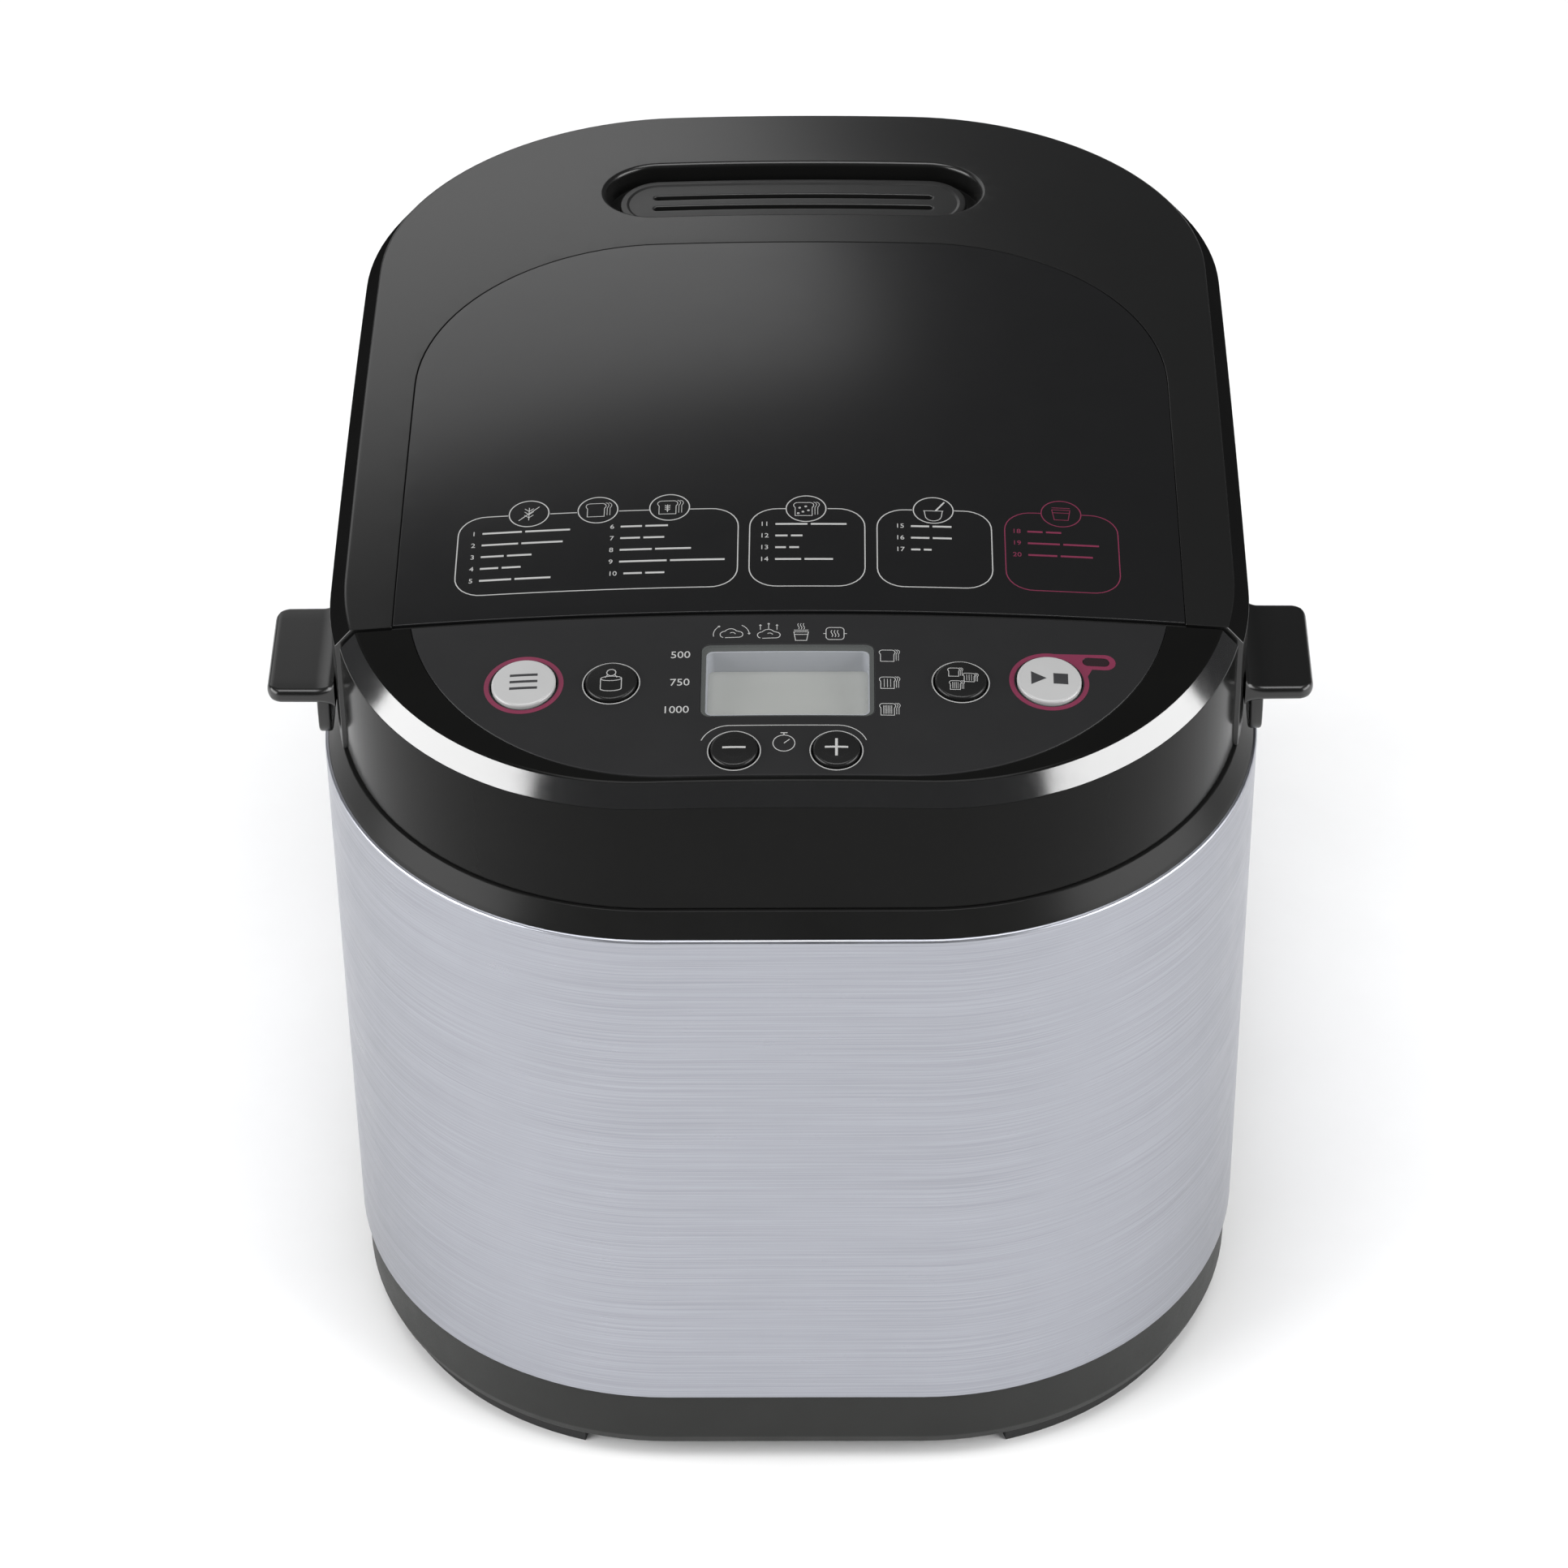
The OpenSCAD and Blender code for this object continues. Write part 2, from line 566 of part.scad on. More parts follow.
module motor_frame() color("#85888c") at_motor() {
  difference() {
    plate(34, 34, 6, 45, 47);
    rod(3 + run_gap, 40, 50);
  }
  difference() {
    plate(34, 34, 6, 101, 103);
    rod(3 + run_gap, 100, 110);
  }
  for (s = [[-1, -1], [1, -1], [-1, 1], [1, 1]]) rod(2.5, 47, 101, s[0] * 27, s[1] * 27);
}
module motor_stator() color("#6f7175") at_motor() difference() {
  plate(31, 31, 5, 60, 88);
  rod(16.4, 50, 100);
  for (s = [[-1, -1], [1, -1], [-1, 1], [1, 1]]) rod(2.5, 50, 100, s[0] * 27, s[1] * 27);
}
module motor_windings() color("#a8623a") at_motor() {
  tube(27, 17.5, 49, 60, 0, 0, 64);
  tube(27, 17.5, 88, 99, 0, 0, 64);
}
module motor_rotor() color("#9a9da0") at_motor() union() {
  rod(3, 13.5, 114);
  rod(16, 60, 88, 0, 0, 64);
  rod(6, 105, 113);
  for (a = [0:45:359]) rotate([0, 0, a]) box(4, 24, -0.6, 0.6, 105, 113);
}
module motor_pulley() color("#3b3b3d") at_motor() difference() {
  union() {
    rod(small_pulley_r, 14, 24, 0, 0, 64);
    rod(small_pulley_r + 2, 13.2, 14);
    rod(small_pulley_r + 2, 24, 24.8);
  }
  rod(3, 10, 30);
}
// open belt outline around two circles
function belt_pts(c0, r0, c1, r1, n = 24) = let (
  d = c1 - c0, L = norm(d), th = atan2(d[1], d[0]), ph = acos((r0 - r1) / L))
  concat([for (i = [0:n]) let (t = th + ph + (360 - 2 * ph) * i / n) c0 + r0 * [cos(t), sin(t)]],
         [for (i = [0:n]) let (t = th - ph + 2 * ph * i / n) c1 + r1 * [cos(t), sin(t)]]);
module drive_belt() color("#222222") translate([0, 0, 15]) linear_extrude(8) difference() {
  polygon(belt_pts([0, cham_y], big_pulley_r + 2.4, [motor_x, motor_y], small_pulley_r + 2.4));
  polygon(belt_pts([0, cham_y], big_pulley_r + 0.35, [motor_x, motor_y], small_pulley_r + 0.35));
}
// ---- electrics ----
module run_capacitor() color("#d8d8d4") union() {
  rod(13, 7.5, 48, -8, -141, 48);
  for (x = [-12, -4]) box(x - 0.4, x + 0.4, -144, -138, 48, 54);
}
module power_board() color("#8a6a35") difference() {
  box(8, 102, -158, -66, 60, 61.6);
  for (p = [[15, -70], [15, -155], [95, -70]]) rod(1.5, 50, 70, p[0], p[1], 24);
  difference() {
    box(70, 110, -170, -130, 50, 70);
    rod(58, 40, 80, 44, -112);
  }
}
module transformer() color("#3c3f44") union() {
  box(24, 56, -100, -72, 61.6, 86);
  box(20, 60, -94, -78, 66, 82);
}
module relay() color("#27486b") union() {
  box(24, 43, -135, -120, 61.6, 77);
  box(50, 69, -135, -120, 61.6, 77);
}
module terminal_block() color("#3f6f4a") difference() {
  box(70, 82, -112, -76, 61.6, 74);
  for (y = [-108:7:-80]) rod(2, 68, 80, 76, y, 24);
}
gland_bore = 3.6;
module cord_gland() color("#1c1c1c") translate([gland_at[0], 0, gland_at[1]]) rotate([-90, 0, 0]) difference() {
  union() {
    translate([0, 0, B - 14]) cylinder(h = 14, r = 7.9, $fn = 48);
    translate([0, 0, B - 6]) cylinder(h = 6 - wrap_t - 0.6, r = 11, $fn = 48);
  }
  translate([0, 0, B - 20]) cylinder(h = 30, r = gland_bore, $fn = 48);
}
// ---- hinge ----
module hinge_pockets(g) for (s = [-1, 1]) for (x = [[13.9, 17.7], [34.3, 38.1]])
  box(min(s * (x[0] - g), s * (x[1] + g)), max(s * (x[0] - g), s * (x[1] + g)), hinge_y - 4.2 - g, hinge_y + 4.2 + g, wrap_z1 - 20, hinge_z);
module hinge_brackets() color("#222222") for (s = [-1, 1]) difference() {
  union() {
    for (x = [[13.9, 17.7], [34.3, 38.1]]) {
      box(min(s * x[0], s * x[1]), max(s * x[0], s * x[1]), hinge_y - 4.2, hinge_y + 4.2, wrap_z1 - 12, hinge_z);
      xrod(4.2, min(s * x[0], s * x[1]), max(s * x[0], s * x[1]), hinge_y, hinge_z);
    }
    box(min(s * 13.9, s * 38.1), max(s * 13.9, s * 38.1), hinge_y - 10, hinge_y + 3.6, wrap_z1 - 12, wrap_z1 - 9);
  }
  xrod(2, s * 26 - 20, s * 26 + 20, hinge_y, hinge_z);
}
module hinge_pins() color("#a0a3a6") for (s = [-1, 1]) xrod(2, s * 26 - 12, s * 26 + 12, hinge_y, hinge_z);
// ---- lid ----
vent_y = 120;
vent = [60.5, 16.8];
module pill(a, b, z0, z1, y) translate([0, y, 0]) plate(a, b, b - 0.05, z0, z1, 12);
module grip(s) {
  // flat tab with rounded corners, and a hanging tongue below its root
  x0 = A - lid_in - 1;
  mirror([s < 0 ? 1 : 0, 0, 0]) {
    difference() {
      hull() {
        for (y = [grip_y0 + 5, grip_y1 - 5]) translate([grip_x - 5, y, grip_z - grip_t / 2]) rotate_extrude($fn = 48) translate([5 - 1.2, 0]) scale([0.5, 1]) circle(r = grip_t / 2, $fn = 24);
        box(x0, x0 + 4, grip_y0, grip_y1, grip_z - grip_t, grip_z);
      }
    }
    hull() {
      box(x0 - 0.5, x0 + 4, grip_y0, grip_y1 + 3, grip_z - grip_t, grip_z);
      box(x0 - 0.5, x0 + 1, grip_y0, grip_y1 + 6, grip_z - grip_t - 2, grip_z + 3.5);
    }
    hull() {
      box(x0 + 1.6, x0 + 5.2, grip_y0 + 1, grip_y0 + 17, grip_z - grip_t - 1, grip_z - 1);
      for (y = [grip_y0 + 6, grip_y0 + 12]) xrod(5, x0 + 2.4, x0 + 5.2, y, deck_z + 5.4, 32);
    }
  }
}
lid_boss = [[-106, -60], [106, -60], [-98, 132], [98, 132]];
module lid_shell() color("#262625") difference() {
  union() {
    difference() {
      intersection() {
        top_form(lid_in, deck_z + skirt_gap);
        box(-200, 200, lid_front, 300, 0, 400);
      }
      intersection() {
        union() {
          slab(lid_in + shell_t, deck_z - 5, 258);
          slab(lid_in + chamfer_w + 2.2, deck_z - 5, 300);
        }
        dome(panel_t + 2.4);
        box(-200, 200, lid_front + shell_t, 300, 0, 400);
      }
      pill(vent[0], vent[1], dome_top - 16, 300, vent_y);
      dome_sheet(-10, panel_t) panel_area(0, lid_front - 5);
      // notches for the hinge
      for (s = [-1, 1]) box(s * 26 - 13.2, s * 26 + 13.2, 162, 190, 200, 236.5);
    }
    // vent well
    difference() {
      intersection() {
        pill(vent[0] + 2, vent[1] + 2, 265, 290, vent_y);
        dome(0.8);
      }
      pill(vent[0], vent[1], 266.5, 300, vent_y);
    }
    for (p = lid_boss) rod(5, 233, dome_h(p) - 2.5, p[0], p[1]);
    for (s = [-1, 1]) {
      xrod(4.2, s * 26 - 8, s * 26 + 8, hinge_y, hinge_z);
      box(s * 26 - 8, s * 26 + 8, 158, 169, 228.5, 240);
      box(s * 26 - 8, s * 26 + 8, 158, 174.6, 236, 240);
      box(s * 26 - 8, s * 26 + 8, 158, hinge_y, hinge_z - 2, hinge_z + 4.2);
    }
    grip(-1);
    grip(1);
  }
  xrod(2 + run_gap, -60, 60, hinge_y, hinge_z);
  for (p = lid_boss) rod(1.5, 225, 250, p[0], p[1], 24);
  pill(vent[0] - 6, vent[1] - 6, 260, 270, vent_y);
}
module lid_panel() color("#3c3a3c") dome_sheet(0, panel_t) panel_area(0.15, lid_front + 0.4);
module vent_insert() color("#1a1a1a") difference() {
  pill(56, 12.5, 266.5, 269.3, vent_y);
  for (dy = [-3, 3]) pill(45, 1.1, 260, 280, vent_y + dy);
}
module lid_liner() color("#9fa2a6") union() {
  difference() {
    intersection() {
      slab(lid_in + shell_t + 0.3, 229.5, 231);
      box(-200, 200, lid_front + shell_t + 0.3, 157, 0, 400);
    }
    at_cham() plate(98, 76, 24, 220, 240);
    for (p = lid_boss) rod(1.6, 200, 240, p[0], p[1], 24);
  }
  at_cham() difference() {
    plate(102, 80, 26, 230, 240);
    plate(101, 79, 25, 229, 239.2);
    for (x = [-50:12.5:50]) rod(3, 235, 245, x, 60, 24);
  }
  for (p = lid_boss) rod(2.6, 229, 229.6, p[0], p[1], 24);
}
module lid_seal() color("#7c4a3a") at_cham() difference() {
  plate(109, 87, 29, deck_z + 0.4, 229.5);
  plate(105.5, 83.5, 27, deck_z - 2, 231);
}

base_tray();
rubber_feet();
base_screws();
body_wrap();
rear_panel();
collar();
control_housing();
control_overlay();
display_window();
display_module();
control_board();
tact_switches();
status_light();
inner_screws();
baking_chamber();
heat_shield();
heating_element();
element_terminals();
element_clips();
temperature_probe();
thermal_fuse();
pan_seat();
bread_pan();
pan_handle();
pan_bushing();
chassis_plate();
bearing_housing();
drive_bearings();
motor_mounts();
motor_frame();
motor_stator();
motor_windings();
run_capacitor();
power_board();
transformer();
relay();
terminal_block();
cord_gland();
drive_belt();
hinge_brackets();
hinge_pins();
menu_button();
weight_button();
crust_button();
start_button();
minus_button();
plus_button();
kneading_paddle();
pan_shaft();
drive_coupler();
drive_shaft();
shaft_clip();
drive_pulley();
motor_rotor();
motor_pulley();
lid_shell();
lid_panel();
vent_insert();
lid_liner();
lid_seal();
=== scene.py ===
"""Countertop bread machine: its looks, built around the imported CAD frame.

Geometry is worked out in millimetres in the CAD frame (+Z up, front towards -Y)
and scaled to metres when a mesh is made.
"""
import math

import bmesh
import bpy
import numpy as np
from mathutils import Matrix, Vector
from mathutils.geometry import delaunay_2d_cdt


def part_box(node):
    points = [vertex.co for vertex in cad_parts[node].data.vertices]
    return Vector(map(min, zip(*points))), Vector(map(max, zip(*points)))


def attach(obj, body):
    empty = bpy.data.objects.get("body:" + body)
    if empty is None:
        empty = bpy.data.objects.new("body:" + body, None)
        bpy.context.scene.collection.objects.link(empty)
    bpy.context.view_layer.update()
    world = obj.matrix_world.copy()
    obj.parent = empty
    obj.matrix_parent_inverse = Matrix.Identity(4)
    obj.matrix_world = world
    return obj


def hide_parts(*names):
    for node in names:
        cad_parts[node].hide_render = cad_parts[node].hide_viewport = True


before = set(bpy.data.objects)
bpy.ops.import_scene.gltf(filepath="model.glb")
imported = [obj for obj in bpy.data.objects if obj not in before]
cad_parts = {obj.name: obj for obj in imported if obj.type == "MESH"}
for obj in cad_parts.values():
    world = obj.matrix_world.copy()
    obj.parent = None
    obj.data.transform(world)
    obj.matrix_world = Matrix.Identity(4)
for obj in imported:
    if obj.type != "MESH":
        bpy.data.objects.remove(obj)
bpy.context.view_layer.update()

MM = 0.001
BASE = "machine_base"
LID = "lid"


def span(node):
    """Lowest and highest corner of a CAD node, in millimetres."""
    lo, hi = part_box(node)
    return lo / MM, hi / MM


def centre(node):
    """The middle of a CAD node in plan."""
    lo, hi = span(node)
    return (lo.x + hi.x) / 2, (lo.y + hi.y) / 2


# ---------------------------------------------------------------- driving sizes
wrap_lo, wrap_hi = span("body_wrap")
A, B = wrap_hi.x, wrap_hi.y
CORNER_R = 101.0
CX, CY = A - CORNER_R, B - CORNER_R
SEAM = 0.1
REAR_HALF = span("rear_panel")[1].x + SEAM
house_lo, house_hi = span("control_housing")
shell_lo, shell_hi = span("lid_shell")
inlay_hi = span("lid_panel")[1]
over_lo, over_hi = span("control_overlay")
hinge_lo, hinge_hi = span("hinge_pins")
HINGE_Y, HINGE_Z = (hinge_lo.y + hinge_hi.y) / 2, (hinge_lo.z + hinge_hi.z) / 2
DECK_Z = house_lo.z
SKIRT_Z = DECK_Z + 0.5
DOME_TOP = inlay_hi.z
DOME_R = 1310.0
DOME_Y = 7.0
CHAMFER_W = 4.8
CHAMFER_H = 6.0
CHAMFER_ROWS = 4
CAP_IN = 6.1
LID_IN = 4.6
HOUSE_IN = B + house_lo.y
LID_CUT = shell_lo.y
HOUSE_CUT = house_hi.y
WALL = 2.6
ROOF = 3.4
SEAT = 1.05
EDGE = 0.2
FIT = 0.15
NOTCH_X, NOTCH_Z = 12.8, 236.5
RIM_STEP, SEAT_STEP, ROOF_STEP = 9.0, 14.0, 16.0
PANEL_A, PANEL_BACK, PANEL_R = inlay_hi.x + FIT, inlay_hi.y + FIT, 73.0
OVER_A, OVER_FRONT, OVER_R = over_hi.x + FIT, over_lo.y - FIT, 78.0
CAP_R = {"menu_button": 9.3, "weight_button": 7.4, "crust_button": 7.4,
         "start_button": 9.3, "minus_button": 6.7, "plus_button": 6.7}
PROUD = 1.1
SCREWS = [(-88, -118), (96, -112), (-112, 60), (112, 60), (-60, 150), (60, 150)]


def dome(x, y, drop=0.0):
    """Height of the domed top above a point, lowered by drop."""
    return DOME_TOP - drop - (x * x + (y - DOME_Y) ** 2) / (2 * DOME_R)


# ---------------------------------------------------------------- plan outlines
def arc(cx, cy, r, a0, a1, n):
    turn = [math.radians(a0 + (a1 - a0) * i / n) for i in range(n + 1)]
    return [(cx + r * math.cos(t), cy + r * math.sin(t)) for t in turn]


def between(p, q, n):
    """The n - 1 points between p and q."""
    return [(p[0] + (q[0] - p[0]) * i / n, p[1] + (q[1] - p[1]) * i / n) for i in range(1, n)]


def round_rect(a, b, r, n=12, x=0.0, y=0.0, side=1):
    """Closed rounded rectangle, counter-clockwise from its right side."""
    out = []
    for k, (sx, sy) in enumerate([(1, 1), (-1, 1), (-1, -1), (1, -1)]):
        corner = arc(x + sx * (a - r), y + sy * (b - r), r, 90 * k, 90 * k + 90, n)
        if out and side > 1:
            out += between(out[-1], corner[0], side)
        out += corner
    if side > 1:
        out += between(out[-1], out[0], side)
    return out


def ring_points(x, y, r, n=48):
    return [(x + r * math.cos(math.tau * i / n), y + r * math.sin(math.tau * i / n)) for i in range(n)]


def body_ring(d):
    """The body's plan outline, stepped inwards by d."""
    return round_rect(A - d, B - d, CORNER_R - d, 30, side=14)


def cut_angle(d, cut):
    return math.degrees(math.asin((-CY - cut) / (CORNER_R - d)))


def back_path(d, cut):
    """Outline stepped inwards by d, from the cut's right end round the back to its left end."""
    r, t = CORNER_R - d, cut_angle(d, cut)
    back_x = [30, 21, NOTCH_X, 4.3, -4.3, -NOTCH_X, -21, -30]
    return (arc(CX, -CY, r, -t, 0, 6) + between((A - d, -CY), (A - d, CY), 16)
            + arc(CX, CY, r, 0, 90, 30) + [(x, B - d) for x in back_x]
            + arc(-CX, CY, r, 90, 180, 30) + between((d - A, CY), (d - A, -CY), 16)
            + arc(-CX, -CY, r, 180, 180 + t, 6))


def front_path(d, cut):
    """Outline stepped inwards by d, from the cut's left end round the front to its right end."""
    r, t = CORNER_R - d, cut_angle(d, cut)
    return (arc(-CX, -CY, r, 180 + t, 270, 30) + between((-CX, d - B), (CX, d - B), 12)
            + arc(CX, -CY, r, 270, 360 - t, 30))


def panel_path(e, cut):
    """The inlay's outline grown by e, from its left front end round the back to its right front end."""
    a, r, cy = PANEL_A + e, PANEL_R + e, PANEL_BACK - PANEL_R
    return ([(-a, cut)] + between((-a, cut), (-a, cy), 14) + arc(-a + r, cy, r, 180, 90, 26)
            + between((-a + r, PANEL_BACK + e), (a - r, PANEL_BACK + e), 12)
            + arc(a - r, cy, r, 90, 0, 26) + between((a, cy), (a, cut), 14) + [(a, cut)])


def overlay_path(e, cut):
    """The overlay's outline grown by e, from its right back end round the front to its left back end."""
    a, r = OVER_A + e, OVER_R + e
    cy = OVER_FRONT + OVER_R
    t = math.degrees(math.asin(max(-1.0, min(1.0, (cy - cut) / r))))
    return (arc(a - r, cy, r, 360 - t, 270, 26) + between((a - r, cy - r), (-a + r, cy - r), 12)
            + arc(-a + r, cy, r, 270, 180 + t, 26))


def pill(a, b, y, e=0.0, n=20):
    return round_rect(a + e, b + e, b + e - 0.01, n, 0, y, side=8)


def rounded(points, radii, steps=4):
    """A polyline whose inner corners are replaced by arcs."""
    out = [points[0]]
    for a, b, c, r in zip(points, points[1:], points[2:], radii):
        b = Vector(b)
        u, v = (Vector(a) - b).normalized(), (Vector(c) - b).normalized()
        half = u.angle(v) / 2
        if r == 0 or half > 1.56:
            out.append(tuple(b))
            continue
        centre = b + (u + v).normalized() * (r / math.sin(half))
        start, end = b + u * (r / math.tan(half)) - centre, b + v * (r / math.tan(half)) - centre
        a0 = math.atan2(start.y, start.x)
        turn = math.remainder(math.atan2(end.y, end.x) - a0, math.tau)
        for i in range(steps + 1):
            t = a0 + turn * i / steps
            out.append((centre.x + r * math.cos(t), centre.y + r * math.sin(t)))
    return out + [points[-1]]


def shrink(loop, by):
    """A closed plan loop moved inwards by a small distance."""
    pts = [Vector(p) for p in loop]
    area = sum(p.cross(q) for p, q in zip(pts, pts[1:] + pts[:1]))
    side = 1 if area > 0 else -1
    out = []
    for i, p in enumerate(pts):
        u = (p - pts[i - 1]).normalized()
        v = (pts[(i + 1) % len(pts)] - p).normalized()
        m = Vector((-u.y - v.y, u.x + v.x)) * side
        m.normalize()
        scale = max(0.35, abs(m.dot(Vector((-u.y, u.x)))))
        out.append(p + m * (by / scale))
    return out


# ---------------------------------------------------------------- mesh building
def inside(points, loops):
    """Which plan points lie inside the loops, by the even-odd rule."""
    p = np.asarray(points, float).reshape(-1, 2)
    hit = np.zeros(len(p), bool)
    for loop in loops:
        q = np.asarray(loop, float)
        r = np.roll(q, -1, 0)
        for (x0, y0), (x1, y1) in zip(q, r):
            if y0 == y1:
                continue
            over = (y0 > p[:, 1]) != (y1 > p[:, 1])
            hit ^= over & (p[:, 0] < (x1 - x0) * (p[:, 1] - y0) / (y1 - y0) + x0)
    return hit


class Skin:
    """The points, in millimetres, and faces of one piece."""

    def __init__(self):
        self.points, self.faces, self.slots = [], [], []

    def add(self, points):
        start = len(self.points)
        self.points += [tuple(p) for p in points]
        return list(range(start, len(self.points)))

    def face(self, ids, slot=0):
        self.faces.append(ids)
        self.slots.append(slot)

    def strip(self, a, b, closed=True, slot=0, skip=()):
        n = len(a)
        for i in range(n if closed else n - 1):
            if i not in skip:
                j = (i + 1) % n
                self.face((a[i], a[j], b[j], b[i]), slot)

    def rings(self, rows, closed=True):
        ids = [self.add(r) for r in rows]
        for a, b in zip(ids, ids[1:]):
            self.strip(a, b, closed)
        return ids

    def fill(self, loops, flat, lift=None, step=0.0):
        """Triangles inside index loops. flat gives a point's plan place, lift the point above a place."""
        ids = [i for loop in loops for i in loop]
        plan = [[Vector(flat(self.points[i])) for i in loop] for loop in loops]
        verts = [v for loop in plan for v in loop]
        edges, start = [], 0
        for loop in loops:
            n = len(loop)
            edges += [(start + k, start + (k + 1) % n) for k in range(n)]
            start += n
        if lift:
            rim = np.array([tuple(v) for v in verts])
            lo, hi = rim.min(0), rim.max(0)
            grid = [(u + (step / 2 if k % 2 else 0), v)
                    for k, v in enumerate(np.arange(lo[1] + step / 2, hi[1], step * 0.87))
                    for u in np.arange(lo[0] + step / 4, hi[0], step)]
            keep = inside(grid, plan)
            for (u, v), ok in zip(grid, keep):
                if ok and np.hypot(*(rim - (u, v)).T).min() > step * 0.45:
                    verts.append(Vector((u, v)))
                    ids += self.add([lift(u, v)])
        out = delaunay_2d_cdt(verts, edges, [], 0, 1e-6)
        if any(not o for o in out[3]):
            bad = [tuple(out[0][i]) for i, o in enumerate(out[3]) if not o]
            raise ValueError(f"outline crosses itself near {bad[:6]}")
        where = [ids[o[0]] for o in out[3]]
        tris = out[2]
        mids = [sum((out[0][i] for i in t), Vector((0, 0))) / 3 for t in tris]
        for t, ok in zip(tris, inside(mids, plan)):
            if ok:
                self.face(tuple(where[i] for i in t))

    def make(self, name, materials, body, slot=None, replaces=()):
        """The finished object, riding on its body."""
        mesh = bpy.data.meshes.new(name)
        mesh.from_pydata([Vector(p) * MM for p in self.points], [], self.faces)
        mesh.polygons.foreach_set("material_index", self.slots)
        bm = bmesh.new()
        bm.from_mesh(mesh)
        bmesh.ops.remove_doubles(bm, verts=bm.verts, dist=1e-6)
        bmesh.ops.recalc_face_normals(bm, faces=bm.faces)
        bm.to_mesh(mesh)
        bm.free()
        for m in materials if isinstance(materials, (list, tuple)) else [materials]:
            mesh.materials.append(m)
        obj = bpy.data.objects.new(name, mesh)
        bpy.context.scene.collection.objects.link(obj)
        smooth(obj)
        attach(obj, body)
        if replaces:
            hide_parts(*replaces)
        return obj


def smooth(obj):
    """Smooth shading, split along the sharp edges, with flat faces kept flat."""
    obj.data.shade_smooth()
    obj.data.set_sharp_from_angle(angle=math.radians(38))
    weigh = obj.modifiers.new("even_normals", "WEIGHTED_NORMAL")
    weigh.keep_sharp = True
    weigh.weight = 60


def top_point(p):
    return (p[0], p[1])


def front_point(p):
    return (p[0], p[2])


def side_point(p):
    return (p[1], p[2])


def on_dome(drop):
    return lambda x, y: (x, y, dome(x, y, drop))


def at_height(points, z):
    return [(x, y, z) for x, y in points]


def on_top(points, drop=0.0):
    return [(x, y, dome(x, y, drop)) for x, y in points]


def lathe(skin, profile, at, n):
    """A turned form about a vertical axis. profile is (radius, height) from one end to the other."""
    return skin.rings([[(x, y, z) for x, y in ring_points(*at, r, n)] for r, z in profile])


def prism(skin, outline, start, end, along):
    """A straight form between two planes. outline is its section across the axis."""
    place_at = {"x": lambda t, p: (t, p[0], p[1]), "y": lambda t, p: (p[0], t, p[1])}[along]
    loops = [skin.add([place_at(t, p) for p in outline]) for t in (start, end)]
    skin.strip(loops[0], loops[1])
    skin.face(tuple(loops[0]))
    skin.face(tuple(loops[1]))


def side_slab(skin, outline, x0, x1, ease):
    """A flat form between two planes of constant x, with eased edges. outline is (y, z)."""
    rows = []
    step = ease if x1 > x0 else -ease
    for x, by in ((x0, ease), (x0 + step * 0.3, ease * 0.3), (x0 + step, 0),
                  (x1 - step, 0), (x1 - step * 0.3, ease * 0.3), (x1, ease)):
        rows.append([(x, p[0], p[1]) for p in (shrink(outline, by) if by else outline)])
    ids = skin.rings(rows)
    skin.fill([ids[0]], side_point)
    skin.fill([ids[-1]], side_point)


def carve(obj, cutter):
    """Cuts the closed forms of cutter out of obj's mesh."""
    tool = cutter.make(obj.name + "_cutter", [], BASE)
    cut = obj.modifiers.new("cut", "BOOLEAN")
    cut.operation, cut.solver, cut.object = "DIFFERENCE", "EXACT", tool
    obj.modifiers.move(len(obj.modifiers) - 1, 0)
    bpy.context.view_layer.update()
    obj.modifiers.remove(obj.modifiers["even_normals"])
    graph = bpy.context.evaluated_depsgraph_get()
    mesh = bpy.data.meshes.new_from_object(obj.evaluated_get(graph))
    old = obj.data
    obj.modifiers.clear()
    obj.data = mesh
    bpy.data.meshes.remove(old)
    bpy.data.objects.remove(tool)
    smooth(obj)


# ---------------------------------------------------------------- materials
def node(tree, kind, **values):
    n = tree.nodes.new(kind)
    for key, value in values.items():
        if key in n.inputs:
            n.inputs[key].default_value = value
        else:
            setattr(n, key, value)
    return n


def noise(tree, coords, scale, detail=4.0, stretch=(1, 1, 1)):
    """Noise in the object's own millimetres."""
    size = node(tree, "ShaderNodeMapping")
    size.inputs["Scale"].default_value = [1000 * s for s in stretch]
    tree.links.new(coords, size.inputs["Vector"])
    n = node(tree, "ShaderNodeTexNoise", Scale=scale, Detail=detail, Roughness=0.6)
    tree.links.new(size.outputs["Vector"], n.inputs["Vector"])
    return n.outputs["Fac"]


def ramp(tree, value, stops):
    r = node(tree, "ShaderNodeValToRGB")
    while len(r.color_ramp.elements) < len(stops):
        r.color_ramp.elements.new(0.5)
    for e, (at, colour) in zip(r.color_ramp.elements, stops):
        e.position = at
        e.color = (*colour, 1) if isinstance(colour, tuple) else (colour, colour, colour, 1)
    tree.links.new(value, r.inputs["Fac"])
    return r.outputs["Color"]


def shade(colour, by):
    return tuple(c * by for c in colour)


